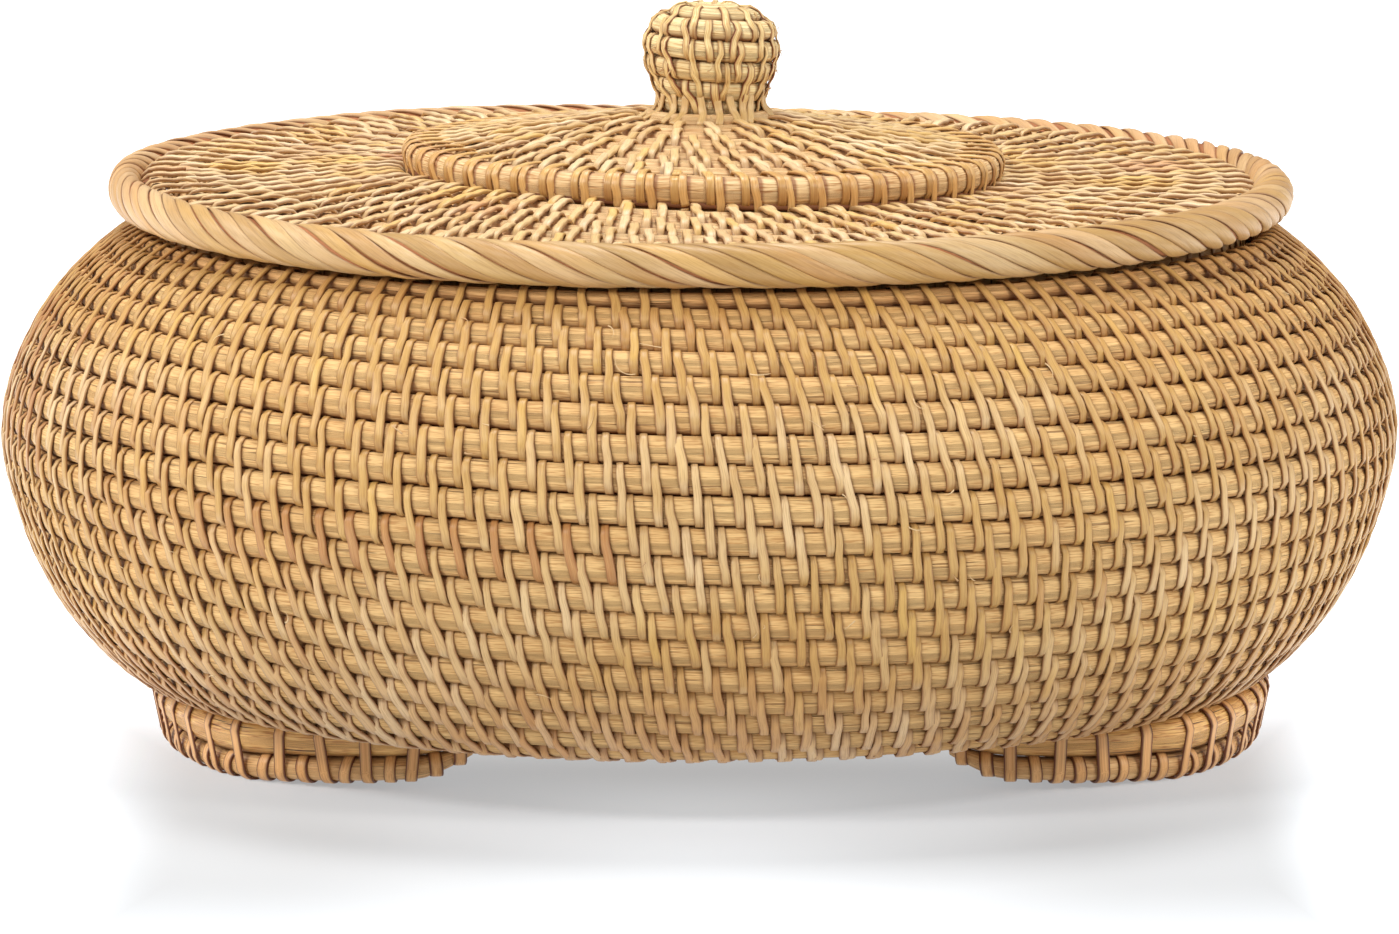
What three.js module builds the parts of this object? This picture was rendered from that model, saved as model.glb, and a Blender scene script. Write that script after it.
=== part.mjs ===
// Woven lidded box: a round, bulging basket of coiled rattan rod on two curved
// foot runners, with a lift-off lid that has a rope-bound border, a raised
// centre and a coiled knob.
// Millimetres, +Z up, front towards -Y. The origin is on the box's centre line
// at the surface that it stands on.
//
// The coil of the real box is one long spiral, made of spliced lengths of rod.
// Here each turn of the wall is one closed course, and the flat coils of the
// base and the lid are annular discs a few turns wide.
import * as THREE from 'three';

// ---------------------------------------------------------------- dimensions
const SEG = 28;                 // facets round a large ring
const KNOB_SEG = 16;            // facets round the knob

const GAP = 0.3;                // air between pieces that touch on the real box
const ROD_R = 2.75;             // coil rod of wall, base and lid
const STRIP = 0.5;              // thickness of the binding strip round a rod

const BASE_BOTTOM_Z = 13.4;     // underside of the flat base coil
const BASE_TOP_Z = 19.0;        // floor inside the box
const BASE_R = 116.2;           // outer radius of the base coil
const BASE_SPLITS = [41, 80];   // where one spliced length of coil follows the next

// outer surface of the wall, height and radius, binding strips included
const PROFILE_Z = [12.0, 16.5, 22.5, 30.5, 40.5, 52.5, 64.5, 76.5, 88.5, 97.5, 104.5, 112.0];
const PROFILE_R = [121.2, 125.1, 131.2, 137.7, 143.2, 147.5, 150.0, 148.4, 143.3, 137.2, 130.2, 120.5];
const FIRST_COURSE = [119.4, 17.0];  // centre of course 1, tucked in under the wall
const COURSE_ARCS = [           // courses 2 to 18: distance up the profile from its foot
  7.65, 14.1, 20.6, 27.45, 34.38, 40.89, 47.16, 53.48, 59.97,
  66.58, 73.16, 79.58, 86.18, 92.75, 98.95, 104.95, 110.95,
];

const MOUTH_R = 121.3;          // mouth course, centre of the rod
const MOUTH_Z = 108.35;

const FOOT_OFFSET_X = 2.4;      // the hand-set runners sit a little to the right
const FOOT_LOWER_R = 2.85;      // lower rod, its flat underside at z = 0
const FOOT_UPPER_R = 3.2;       // upper rod, close under the base
const FOOT_UPPER_Z = 9.35;
const FOOT_RISE = 3.3;          // how far the runner ends rise and thin out
const FOOT_PATH = [             // plan of half a right runner, front end to side
  [49.5, -75.5], [60, -77.2], [70, -76.6], [81.4, -73], [90, -68.2],
  [98.5, -62.2], [108, -45.8], [114.6, -25.0],
];
const FOOT_SIDE_R = 117.2;
const FOOT_STEPS = 18;

const RIM_R = 122.7;            // lid border, centre of its tube
const RIM_Z = 116.1;
const RIM_CORE_R = 3.6;         // rod inside the border
const RIM_WRAP_R = 4.55;        // outside of the broad strips wound round it

const FIELD_OUT_R = 117.6;      // coiled field of the lid
const FIELD_OUT_Z = 114.6;      // mid-height of the coil at its outer edge
const FIELD_IN_R = 58.6;
const FIELD_IN_Z = 118.0;
const FIELD_SPLITS = [78.5, 98.5];

const STEP_R = 61.8;            // rod that edges the raised centre
const STEP_Z = 124.3;
const STEP_ROD_R = 3.1;
const STEP_OFFSET_X = 1.2;

const TOP_OUT_R = 58.2;         // raised centre, a low cone of coil
const TOP_OUT_Z = 124.4;
const TOP_IN_R = 7.0;
const TOP_IN_Z = 131.2;
const TOP_SPLIT = 33;

const COLLAR_R = 113.9;         // ring under the lid that drops into the mouth
const COLLAR_Z = [108.3, 102.5];

const KNOB_OFFSET_X = 2.4;
const KNOB_PEG_R = 6.5;
const KNOB_PEG_Z = [125.6, 152.9];
const KNOB_COILS = [            // rod centre radius, height, rod radius
  [9.1, 136.0, 1.8], [10.3, 139.9, 1.85], [12.3, 143.9, 1.9],
  [12.6, 148.1, 2.0], [10.8, 152.3, 1.95],
];
const KNOB_CAP = [8.2, 153.3, 157.8];

// ------------------------------------------------------------------ materials
const mat = (color, roughness) =>
  new THREE.MeshStandardMaterial({ color, roughness, metalness: 0 });
const HONEY = 0xd0a36a;         // wall and base
const GOLD = 0xd2a464;          // field of the lid
const CREAM = 0xe0bd8b;         // border strips
const AMBER = 0xb5854f;         // runners
const PITH = 0xdcb988;          // bare rod

const group = new THREE.Group();
function add(name, geometry, color, roughness = 0.62, x = 0) {
  const mesh = new THREE.Mesh(geometry, mat(color, roughness));
  mesh.name = name;
  mesh.position.x = x;
  group.add(mesh);
  return mesh;
}

// ------------------------------------------------------------------- shapes
// A closed profile of [radius, height] pairs, counter-clockwise, turned about Z.
function turned(profile, segments) {
  const pts = profile.map(([r, z]) => new THREE.Vector2(r, z));
  pts.push(pts[0].clone());
  const g = new THREE.LatheGeometry(pts, segments);
  g.rotateX(Math.PI / 2);
  return g;
}

// Regular polygon round (r, z), first corner at the angle start.
function polygon(r, z, radius, sides, start = 0) {
  const out = [];
  for (let i = 0; i < sides; i++) {
    const a = start + (2 * Math.PI * i) / sides;
    out.push([r + radius * Math.cos(a), z + radius * Math.sin(a)]);
  }
  return out;
}

const ringOfRod = (r, z, radius, segments = SEG, sides = 6, start = 0) =>
  turned(polygon(r, z, radius, sides, start), segments);

// Annular disc of coil between two radii, following a straight slope of
// mid-heights; its long edges are rounded like the rod it is coiled from.
function coilDisc(rIn, rOut, zAt, half = ROD_R) {
  const c = half * 0.55;
  return turned([
    [rIn, zAt(rIn) - half + c], [rIn + c, zAt(rIn + c) - half],
    [rOut - c, zAt(rOut - c) - half], [rOut, zAt(rOut) - half + c],
    [rOut, zAt(rOut) + half - c], [rOut - c, zAt(rOut - c) + half],
    [rIn + c, zAt(rIn + c) + half], [rIn, zAt(rIn) + half - c],
  ], SEG);
}

// A rod of many-sided section bent along a plan curve: an extrusion whose
// stations are carried onto the curve, with its own height and thickness.
function bentRod(sides, start, steps, curve, sizeAt) {
  const shape = new THREE.Shape(
    polygon(0, 0, 1, sides, start).map(([x, y]) => new THREE.Vector2(x, y)));
  const g = new THREE.ExtrudeGeometry(shape, { depth: 1, steps, bevelEnabled: false });
  const pos = g.attributes.position;
  const up = new THREE.Vector3(0, 0, 1);
  for (let i = 0; i < pos.count; i++) {
    const t = pos.getZ(i);
    const p = curve.getPoint(t);
    const tangent = curve.getTangent(t).setZ(0).normalize();
    const side = new THREE.Vector3().crossVectors(up, tangent);
    const { z, w, h } = sizeAt(p);
    pos.setXYZ(i,
      p.x + side.x * pos.getX(i) * w,
      p.y + side.y * pos.getX(i) * w,
      z + pos.getY(i) * h);
  }
  g.deleteAttribute('uv');
  g.computeVertexNormals();
  return g;
}

// ------------------------------------------------------------ base and wall
const flatBase = () => (BASE_BOTTOM_Z + BASE_TOP_Z) / 2;
const baseHalf = (BASE_TOP_Z - BASE_BOTTOM_Z) / 2;
{
  const c = baseHalf * 0.55;
  const r = BASE_SPLITS[0] - GAP / 2;
  add('base_centre_coil', turned([
    [0, BASE_BOTTOM_Z], [r - c, BASE_BOTTOM_Z], [r, BASE_BOTTOM_Z + c],
    [r, BASE_TOP_Z - c], [r - c, BASE_TOP_Z], [0, BASE_TOP_Z],
  ], SEG), HONEY);
}
add('base_middle_coil',
  coilDisc(BASE_SPLITS[0] + GAP / 2, BASE_SPLITS[1] - GAP / 2, flatBase, baseHalf), HONEY);
add('base_outer_coil',
  coilDisc(BASE_SPLITS[1] + GAP / 2, BASE_R, flatBase, baseHalf), HONEY);

// The wall's rods lie inside the outer profile by their radius and the strip.
const profile = new THREE.CatmullRomCurve3(
  PROFILE_Z.map((z, i) => new THREE.Vector3(PROFILE_R[i], 0, z)), false, 'catmullrom', 0.5);
profile.arcLengthDivisions = 1200;
const total = profile.getLength();
function courseCentre(s) {
  const u = Math.min(Math.max(s / total, 0), 1);
  const p = profile.getPointAt(u);
  const t = profile.getTangentAt(u);
  const inset = ROD_R + STRIP;
  return [p.x - t.z * inset, p.z + t.x * inset];
}
const courses = [FIRST_COURSE, ...COURSE_ARCS.map(courseCentre)];
courses.forEach(([r, z], k) => {
  add(`wall_coil_${String(k + 1).padStart(2, '0')}`,
    ringOfRod(r, z, ROD_R, SEG, 6, Math.PI / 6 * (k % 2)), HONEY);
});
add('mouth_rim_coil', ringOfRod(MOUTH_R, MOUTH_Z, ROD_R + 0.05, SEG, 8, Math.PI / 8), HONEY);

// ------------------------------------------------------------- foot runners
for (const [sideName, sign] of [['left', -1], ['right', 1]]) {
  const half = FOOT_PATH.map(([x, y]) => [x, y]);
  const plan = [...half, [FOOT_SIDE_R, 0], ...half.slice().reverse().map(([x, y]) => [x, -y])];
  let pts = plan.map(([x, y]) => new THREE.Vector3(sign * x, y, 0));
  if (sign < 0) pts = pts.reverse();
  const curve = new THREE.CatmullRomCurve3(pts, false, 'centripetal');
  // 0 along the side of the runner, 1 at its ends
  const lift = (p) => {
    const a = THREE.MathUtils.radToDeg(Math.atan2(Math.abs(p.x), Math.abs(p.y)));
    return Math.pow(Math.min(Math.max((61 - a) / 28, 0), 1), 1.15);
  };
  const lower = (p) => {
    const k = lift(p);
    const h = FOOT_LOWER_R - 0.45 * k;
    return { z: FOOT_RISE * k + h, h: h / Math.cos(Math.PI / 8), w: (FOOT_LOWER_R - 0.3 * k) / Math.cos(Math.PI / 8) };
  };
  const upper = (p) => {
    const k = lift(p);
    const top = FOOT_UPPER_Z + FOOT_UPPER_R;
    const bottom = FOOT_RISE * k + 2 * (FOOT_LOWER_R - 0.45 * k) + 0.35;
    const h = (top - bottom) / 2;
    return { z: (top + bottom) / 2, h: h / Math.cos(Math.PI / 8), w: (FOOT_UPPER_R - 0.5 * k) / Math.cos(Math.PI / 8) };
  };
  add(`foot_${sideName}_lower_rod`,
    bentRod(8, Math.PI / 8, FOOT_STEPS, curve, lower), AMBER, 0.55, FOOT_OFFSET_X);
  add(`foot_${sideName}_upper_rod`,
    bentRod(8, Math.PI / 8, FOOT_STEPS, curve, upper), AMBER, 0.55, FOOT_OFFSET_X);
}

// --------------------------------------------------------------------- lid
add('lid_border_core', ringOfRod(RIM_R, RIM_Z, RIM_CORE_R, SEG, 8, Math.PI / 8), PITH);
{
  // open on its inner side, where the strips pass through the edge of the field
  const open = THREE.MathUtils.degToRad(150);
  const a0 = Math.PI - open / 2 * 0.42;
  const n = 7;
  const outer = [], inner = [];
  for (let i = 0; i <= n; i++) {
    const a = -a0 + (2 * a0 * i) / n;
    outer.push([RIM_R + RIM_WRAP_R * Math.cos(a), RIM_Z + RIM_WRAP_R * Math.sin(a)]);
    inner.push([RIM_R + (RIM_CORE_R + 0.45) * Math.cos(a), RIM_Z + (RIM_CORE_R + 0.45) * Math.sin(a)]);
  }
  add('lid_border_wrap', turned([...outer, ...inner.reverse()], SEG), CREAM, 0.5);
}

const fieldZ = (r) => FIELD_OUT_Z +
  (FIELD_IN_Z - FIELD_OUT_Z) * (FIELD_OUT_R - r) / (FIELD_OUT_R - FIELD_IN_R);
add('lid_field_outer_coil', coilDisc(FIELD_SPLITS[1] + GAP / 2, FIELD_OUT_R, fieldZ), GOLD);
add('lid_field_middle_coil',
  coilDisc(FIELD_SPLITS[0] + GAP / 2, FIELD_SPLITS[1] - GAP / 2, fieldZ), GOLD);
add('lid_field_inner_coil', coilDisc(FIELD_IN_R, FIELD_SPLITS[0] - GAP / 2, fieldZ), GOLD);

add('lid_step_rod', ringOfRod(STEP_R, STEP_Z, STEP_ROD_R, SEG, 8, Math.PI / 8), PITH, 0.6, STEP_OFFSET_X);

const topZ = (r) => TOP_OUT_Z + (TOP_IN_Z - TOP_OUT_Z) * (TOP_OUT_R - r) / (TOP_OUT_R - TOP_IN_R);
add('lid_top_outer_coil', coilDisc(TOP_SPLIT + GAP / 2, TOP_OUT_R, topZ), GOLD, 0.62, STEP_OFFSET_X);
add('lid_top_centre_coil', coilDisc(TOP_IN_R + 1.4, TOP_SPLIT - GAP / 2, topZ), GOLD, 0.62, STEP_OFFSET_X);

COLLAR_Z.forEach((z, i) => {
  add(i === 0 ? 'lid_collar_upper_coil' : 'lid_collar_lower_coil',
    ringOfRod(COLLAR_R, z, ROD_R, SEG, 6, 0), HONEY);
});

add('knob_peg', turned([
  [0, KNOB_PEG_Z[0]], [KNOB_PEG_R - 1.2, KNOB_PEG_Z[0]], [KNOB_PEG_R, KNOB_PEG_Z[0] + 1.2],
  [KNOB_PEG_R, KNOB_PEG_Z[1] - 1.5], [KNOB_PEG_R - 2.2, KNOB_PEG_Z[1]], [0, KNOB_PEG_Z[1]],
], KNOB_SEG), PITH, 0.6, KNOB_OFFSET_X);
KNOB_COILS.forEach(([r, z, rod], i) => {
  add(`knob_coil_${i + 1}`, ringOfRod(r, z, rod, KNOB_SEG, 6, Math.PI / 6), GOLD, 0.6, KNOB_OFFSET_X);
});
add('knob_cap', turned([
  [0, KNOB_CAP[1]], [KNOB_CAP[0] - 2, KNOB_CAP[1]], [KNOB_CAP[0], KNOB_CAP[1] + 1.6],
  [KNOB_CAP[0], KNOB_CAP[1] + 2.5], [KNOB_CAP[0] * 0.62, KNOB_CAP[2] - 0.6], [0, KNOB_CAP[2]],
], KNOB_SEG), GOLD, 0.6, KNOB_OFFSET_X);

export default group;
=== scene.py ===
import math
import bpy
import numpy as np
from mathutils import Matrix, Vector


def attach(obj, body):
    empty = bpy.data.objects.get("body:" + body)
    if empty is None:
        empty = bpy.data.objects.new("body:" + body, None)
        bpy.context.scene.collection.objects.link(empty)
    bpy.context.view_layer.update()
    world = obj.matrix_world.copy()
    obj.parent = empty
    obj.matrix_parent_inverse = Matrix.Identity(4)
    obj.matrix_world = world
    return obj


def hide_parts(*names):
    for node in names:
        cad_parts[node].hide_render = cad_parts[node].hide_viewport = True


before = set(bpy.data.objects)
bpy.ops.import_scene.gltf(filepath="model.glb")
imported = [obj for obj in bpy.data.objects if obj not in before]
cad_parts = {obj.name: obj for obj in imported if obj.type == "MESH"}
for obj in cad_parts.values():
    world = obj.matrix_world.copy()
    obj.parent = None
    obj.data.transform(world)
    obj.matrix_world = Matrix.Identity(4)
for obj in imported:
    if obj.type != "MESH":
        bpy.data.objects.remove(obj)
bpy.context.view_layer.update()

TAU = 2 * math.pi
MM = 0.001
RNG = np.random.default_rng(20417)

# --------------------------------------------------------------------------
# camera: first, so that nothing later can move it
# --------------------------------------------------------------------------
scene = bpy.context.scene
EYE = Vector((0.0, -1.900, 0.338))
PITCH = math.radians(8.42)
cam_data = bpy.data.cameras.new("camera")
cam_data.sensor_fit = "HORIZONTAL"
cam_data.sensor_width = 36.0
cam_data.lens = 8905.8 * 36.0 / 1399.0
cam_data.clip_start = 0.05
cam_data.clip_end = 60.0
camera = bpy.data.objects.new("camera", cam_data)
camera.location = EYE
camera.rotation_euler = (math.radians(90) - PITCH, 0.0, 0.0)
scene.collection.objects.link(camera)
scene.camera = camera
scene.view_settings.view_transform = "Standard"

# --------------------------------------------------------------------------
# small maths
# --------------------------------------------------------------------------
def lerp(a, b, t):
    return a + (b - a) * t


def smooth(t):
    t = np.clip(t, 0.0, 1.0)
    return t * t * (3 - 2 * t)


def hash01(n, seed=0):
    """A repeatable number from 0 to 1 for each whole number n."""
    n = np.asarray(n, dtype=np.int64) * 2654435761 + seed * 40503 + 12345
    n = (n ^ (n >> 13)) * 1274126177 & 0xFFFFFFFF
    n = (n ^ (n >> 16)) * 2246822519 & 0xFFFFFFFF
    n = n ^ (n >> 15)
    return (n & 0xFFFFFF) / float(0xFFFFFF)


def noise1(x, seed=0):
    """Smooth noise along a line, about -1 to 1."""
    x = np.asarray(x, dtype=float)
    i = np.floor(x).astype(np.int64)
    f = smooth(x - i)
    return lerp(hash01(i, seed), hash01(i + 1, seed), f) * 2 - 1


def wave(a, s, seed):
    """Smooth hand-made unevenness over angle a and course distance s (mm)."""
    r = np.random.default_rng(seed)
    out = 0.0
    for k, amp in ((1, 1.0), (2, 0.8), (3, 0.6), (5, 0.45), (8, 0.3), (13, 0.18)):
        p, q = r.uniform(0, TAU, 2)
        out = out + amp * np.sin(k * a + p + s / r.uniform(25, 60) * math.copysign(1, q - 3))
    return out / 1.6


# --------------------------------------------------------------------------
# meshes from arrays
# --------------------------------------------------------------------------
PIECES = {}


def build(name, verts, polys, attrs, material, body, slot, uv=None):
    """verts in mm; polys is a list of (n, k) index arrays; attrs {name: (n, 3)}."""
    tri = [np.concatenate([p[:, [0, i, i + 1]] for i in range(1, p.shape[1] - 1)]) for p in polys]
    tri = np.concatenate(tri)
    a, b, c = (verts[tri[:, i]] for i in range(3))
    if np.einsum("ij,ij->", a, np.cross(b, c)) < 0:
        polys = [p[:, ::-1] for p in polys]
    flat = np.concatenate([p.ravel() for p in polys]).astype(np.int32)
    lens = np.concatenate([np.full(len(p), p.shape[1]) for p in polys])
    starts = np.concatenate([[0], np.cumsum(lens)[:-1]]).astype(np.int32)
    me = bpy.data.meshes.new(name)
    me.vertices.add(len(verts))
    me.vertices.foreach_set("co", (verts * MM).astype(np.float32).ravel())
    me.loops.add(len(flat))
    me.polygons.add(len(starts))
    me.polygons.foreach_set("loop_start", starts)
    me.polygons.foreach_set("vertices", flat)
    me.update(calc_edges=True)
    me.validate()
    me.polygons.foreach_set("use_smooth", np.ones(len(me.polygons), dtype=bool))
    for key, values in attrs.items():
        at = me.attributes.new(key, "FLOAT_VECTOR", "POINT")
        at.data.foreach_set("vector", values.astype(np.float32).ravel())
    if uv is not None:
        layer = me.uv_layers.new(name="OFBake")
        idx = np.empty(len(me.loops), dtype=np.int32)
        me.loops.foreach_get("vertex_index", idx)
        layer.data.foreach_set("uv", uv(idx, me).astype(np.float32).ravel())
    me.materials.append(material)
    ob = bpy.data.objects.new(name, me)
    scene.collection.objects.link(ob)
    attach(ob, body)
    PIECES[name] = ob
    return ob


def sweep_faces(n, m, closed=False, offset=0):
    """Quads between n stations of m points, and the two end caps."""
    i = np.arange(n if closed else n - 1)[:, None]
    j = np.arange(m)[None, :]
    i2 = (i + 1) % n
    j2 = (j + 1) % m
    quads = np.stack([i * m + j, i * m + j2, i2 * m + j2, i2 * m + j], -1).reshape(-1, 4) + offset
    if closed:
        return [quads]
    caps = np.stack([np.arange(m)[::-1], np.arange(m) + (n - 1) * m]) + offset
    return [quads, caps]


def joined(parts):
    """Joins [(verts, polys, attrs)] into one."""
    verts, polys, attrs, at = [], {}, {}, 0
    for v, ps, ats in parts:
        for p in ps:
            polys.setdefault(p.shape[1], []).append(p + at)
        for k, x in ats.items():
            attrs.setdefault(k, []).append(x)
        verts.append(v)
        at += len(v)
    return (np.concatenate(verts), [np.concatenate(p) for p in polys.values()],
            {k: np.concatenate(x) for k, x in attrs.items()})


# --------------------------------------------------------------------------
# the coil's centre lines, [radius, height] against distance s across courses
# --------------------------------------------------------------------------
PITCH_MM = 6.1        # between the courses of the lid
ROD = 2.68            # how far a rod reaches outwards from its centre
STRIP_T = 0.52        # strip thickness
PROFILE_Z = [12.0, 16.5, 22.5, 30.5, 40.5, 52.5, 64.5, 76.5, 88.5, 97.5, 104.5, 112.0]
PROFILE_R = [121.2, 125.1, 131.2, 137.7, 143.2, 147.5, 150.0, 148.4, 143.3, 137.2, 130.2, 120.5]
# distance up the profile of the groove above each course, at the front
GROOVES = [4.4, 10.9, 17.3, 23.9, 31.0, 37.75, 44.04, 50.29, 56.68, 63.26, 69.89, 76.44, 82.72,
           89.5, 95.9, 102.1, 108.0, 113.9]
FIRST = (119.4, 17.0)  # course 1 is tucked in under the wall


def catmull(points, n=60):
    p = np.array(points, float)
    p = np.vstack([2 * p[0] - p[1], p, 2 * p[-1] - p[-2]])
    out = []
    t = np.linspace(0, 1, n, endpoint=False)[:, None]
    for i in range(1, len(p) - 2):
        a, b, c, d = p[i - 1], p[i], p[i + 1], p[i + 2]
        m0, m1 = (c - a) / 2, (d - b) / 2
        out.append((2 * t**3 - 3 * t**2 + 1) * b + (t**3 - 2 * t**2 + t) * m0
                   + (-2 * t**3 + 3 * t**2) * c + (t**3 - t**2) * m1)
    out.append(p[-2][None])
    return np.vstack(out)


class Line:
    """A centre line: at(s) gives radius and height."""

    def __init__(self, s, r, z):
        self.s, self.r, self.z = map(np.asarray, (s, r, z))

    def at(self, s):
        return np.interp(s, self.s, self.r), np.interp(s, self.s, self.z)


_prof = catmull(np.column_stack([PROFILE_R, PROFILE_Z]))
_arc = np.concatenate([[0], np.cumsum(np.hypot(*np.diff(_prof, axis=0).T))])
_tan = np.gradient(_prof, _arc, axis=0)
_tan /= np.linalg.norm(_tan, axis=1)[:, None]
INSET = 3.25
_cen = np.column_stack([_prof[:, 0] - _tan[:, 1] * INSET, _prof[:, 1] + _tan[:, 0] * INSET])


def _soft(x, n):
    k = np.hanning(n + 2)[1:-1]
    return np.convolve(np.pad(x, n // 2, mode="reflect", reflect_type="odd"), k / k.sum(), "valid")


# radius and height of the coil for each turn number q; course k is at q = k - 1
_q = np.arange(-19.6, 19.0, 0.05)
_s = _soft(np.interp(_q, np.arange(1, 19) - 0.5, GROOVES), 13)
_over = _q > 17.5
_s[_over] = np.interp(_q[_over], [17.5, 18.0, 18.5, 19.0], [113.9, 116.7, 118.2, 118.6])
_wr, _wz = (np.interp(_s, _arc, _cen[:, i]) for i in (0, 1))
_r1, _z1 = (float(np.interp(1.0, _q, w)) for w in (_wr, _wz))
_low = _q < 1.0
_wr[_low] = lerp(FIRST[0], _r1, _q[_low])
_wz[_low] = lerp(FIRST[1], _z1, _q[_low])
_flat = _q < 0.0
_wr[_flat] = FIRST[0] + 6.05 * _q[_flat]
_wz[_flat] = 16.2 + 0.8 * np.clip(1 + _q[_flat], 0, 1) ** 2
_wr, _wz = _soft(_wr, 9), _soft(_wz, 9)

PHI_TOP = TAU * 18.5
PHI_BASE = TAU * (-18.9)


# the coil winds on one spiral: phi grows as it rises, and the angle from the
# front is a = -phi; the courses also dip a little on the right
def box_centre(phi):
    phi = np.asarray(phi, float)
    a = -phi
    q = phi / TAU
    dip = -0.92 * np.sin(a) + 0.22 * np.sin(2 * a + 0.5)
    on_wall = smooth((q + 0.5) / 1.5) * smooth((18.6 - q) / 0.8)
    q2 = q + (dip + 0.13 * wave(a, q * 6.2, 5)) / 6.2 * on_wall
    out = 0.20 * wave(a, q * 6.2, 9)
    return np.interp(q2, _q, _wr) + out, np.interp(q2, _q, _wz)


def box_rod_r(phi):
    """The rod thins out where it ends, so that the mouth is nearly level."""
    phi = np.asarray(phi, float)
    k = np.clip((phi / TAU - 18.0) / 0.5, 0, 1)
    start = np.clip((phi - PHI_BASE) / (TAU * 0.5), 0, 1)
    return ROD * (1 - 0.5 * k) * (0.55 + 0.45 * start)


# the hand-made lid isn't quite level: its border is lifted at the back left
WARP_A = [-180, -165, -145, -125, -105, -90, -75, -60, -30, 0, 30, 60, 90, 110, 125, 150, 165, 180]
WARP_Z = [1.2, 2.25, 2.9, 2.3, 2.4, 2.4, 1.8, 0.9, -0.3, -0.3, -0.45, 0.1, 0.9, 0.95, 1.0, 1.15, 0.5, 1.2]
_wa = np.arange(-540, 541, 5.0)
_wv = _soft(np.interp((_wa + 180) % 360 - 180, WARP_A, WARP_Z), 9)


def warp(a, r):
    """Height added to the lid at the angle a from the front and the radius r."""
    d = (np.degrees(np.asarray(a, float)) + 180) % 360 - 180
    return np.interp(d, _wa, _wv) * np.clip((r - 62.0) / 54.0, 0, 1) ** 1.1


def tilt(a, r):
    """The field alone: lower at the front and higher at the back."""
    c = np.cos(a)
    return (np.where(c > 0, -0.9 * c, -2.5 * c) * np.clip((r - 66.0) / 50.0, 0, 1) ** 1.2
            + 0.5 * np.abs(np.sin(a)) ** 3 * np.clip((r - 90.0) / 26.0, 0, 1))


# the ring round the raised centre sags on the right at the front
RING_A = [-180, -120, -90, -61, -44, -2, 20, 45, 62, 75, 100, 140, 180]
RING_Z = [0.3, 0.6, 0.8, 0.6, 0.0, -0.6, -1.2, -1.55, -1.75, -1.75, -1.3, -0.5, 0.3]
FIELD_Z = [0.0, 0.5, 1.2, 1.5, 1.3, 0.0, -0.9, -1.7, -1.9, -1.7, -0.9, -0.3, 0.0]
_rv, _fv = (_soft(np.interp((_wa + 180) % 360 - 180, RING_A, v), 9) for v in (RING_Z, FIELD_Z))


def field_dz(a):
    return np.interp((np.degrees(np.asarray(a, float)) + 180) % 360 - 180, _wa, _fv)


def ring_dz(a):
    return np.interp((np.degrees(np.asarray(a, float)) + 180) % 360 - 180, _wa, _rv)


def turns(phi):
    """Turn number of a coil whose courses are circles that step in at the back."""
    u = np.asarray(phi, float) / TAU + 0.5
    k = np.floor(u)
    return k + smooth((u - k - 0.90) / 0.10)


# the lid's field: phi = 0 at the front of the outermost course, and it grows inwards
def lid_centre(phi):
    phi = np.asarray(phi, float)
    s = turns(phi) * PITCH_MM
    d = (np.degrees(-phi) + 180) % 360 - 180
    wide = np.clip((s + 6.0) / 6.0, 0, 1) * smooth((30.0 - s) / 30.0)
    r = np.minimum(115.0 - s, 117.4) + 1.5 * np.abs(np.sin(phi)) ** 3 * wide
    z = 114.75 + 3.45 * (s / 54.0) + 0.16 * wave(-phi, s, 15)
    z = z + 0.9 * np.exp(-((d + 92) / 34) ** 2) * smooth((24.0 - s) / 24.0)
    z = z + np.interp(d, _wa, _fv) * np.clip((104.0 - r) / 36.0, 0, 1)
    return r, z + warp(-phi, r) + tilt(-phi, r)


# the raised centre's low cone
def top_centre(phi):
    phi = np.asarray(phi, float)
    s = turns(phi) * 5.6
    r = np.minimum(55.6 - s, 56.2)
    z = 124.9 + 6.4 * (s / 46.0) + 0.12 * wave(-phi, s, 19) + ring_dz(-phi) * np.clip((r - 16.0) / 38.0, 0, 1)
    return r, z


# --------------------------------------------------------------------------
# rods and stitches
# --------------------------------------------------------------------------
def frame2(centre, phi, turn):
    """This course's centre, the one a turn before, and the direction between them."""
    r1, z1 = centre(phi)
    r0, z0 = centre(phi - turn)
    d = np.hypot(r1 - r0, z1 - z0)
    return r0, z0, r1, z1, (r1 - r0) / d, (z1 - z0) / d, d


SQUASH = 2.7


def section(ang, squash=SQUASH):
    c, s = np.cos(ang), np.sin(ang)
    return c, s, (np.abs(c) ** squash + np.abs(s) ** squash) ** (-1 / squash)


def marks(centre, phis, lean, jitter, seed):
    """Where each stitch crosses its lower rod and its upper rod."""
    ids = np.arange(len(phis)) + seed * 1009
    r_here, _ = centre(phis)
    ph = phis + jitter * (hash01(ids, 3) - 0.5) * 0.62 / r_here
    ln = (lean(phis) if callable(lean) else lean) + jitter * (hash01(ids, 4) - 0.5) * 0.7
    ln = ln + 0.25 * jitter * noise1(np.arange(len(phis)) * 0.21, seed + 8)
    return ids, ph, ln, ph - 0.5 * ln / r_here, ph + 0.5 * ln / r_here


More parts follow.
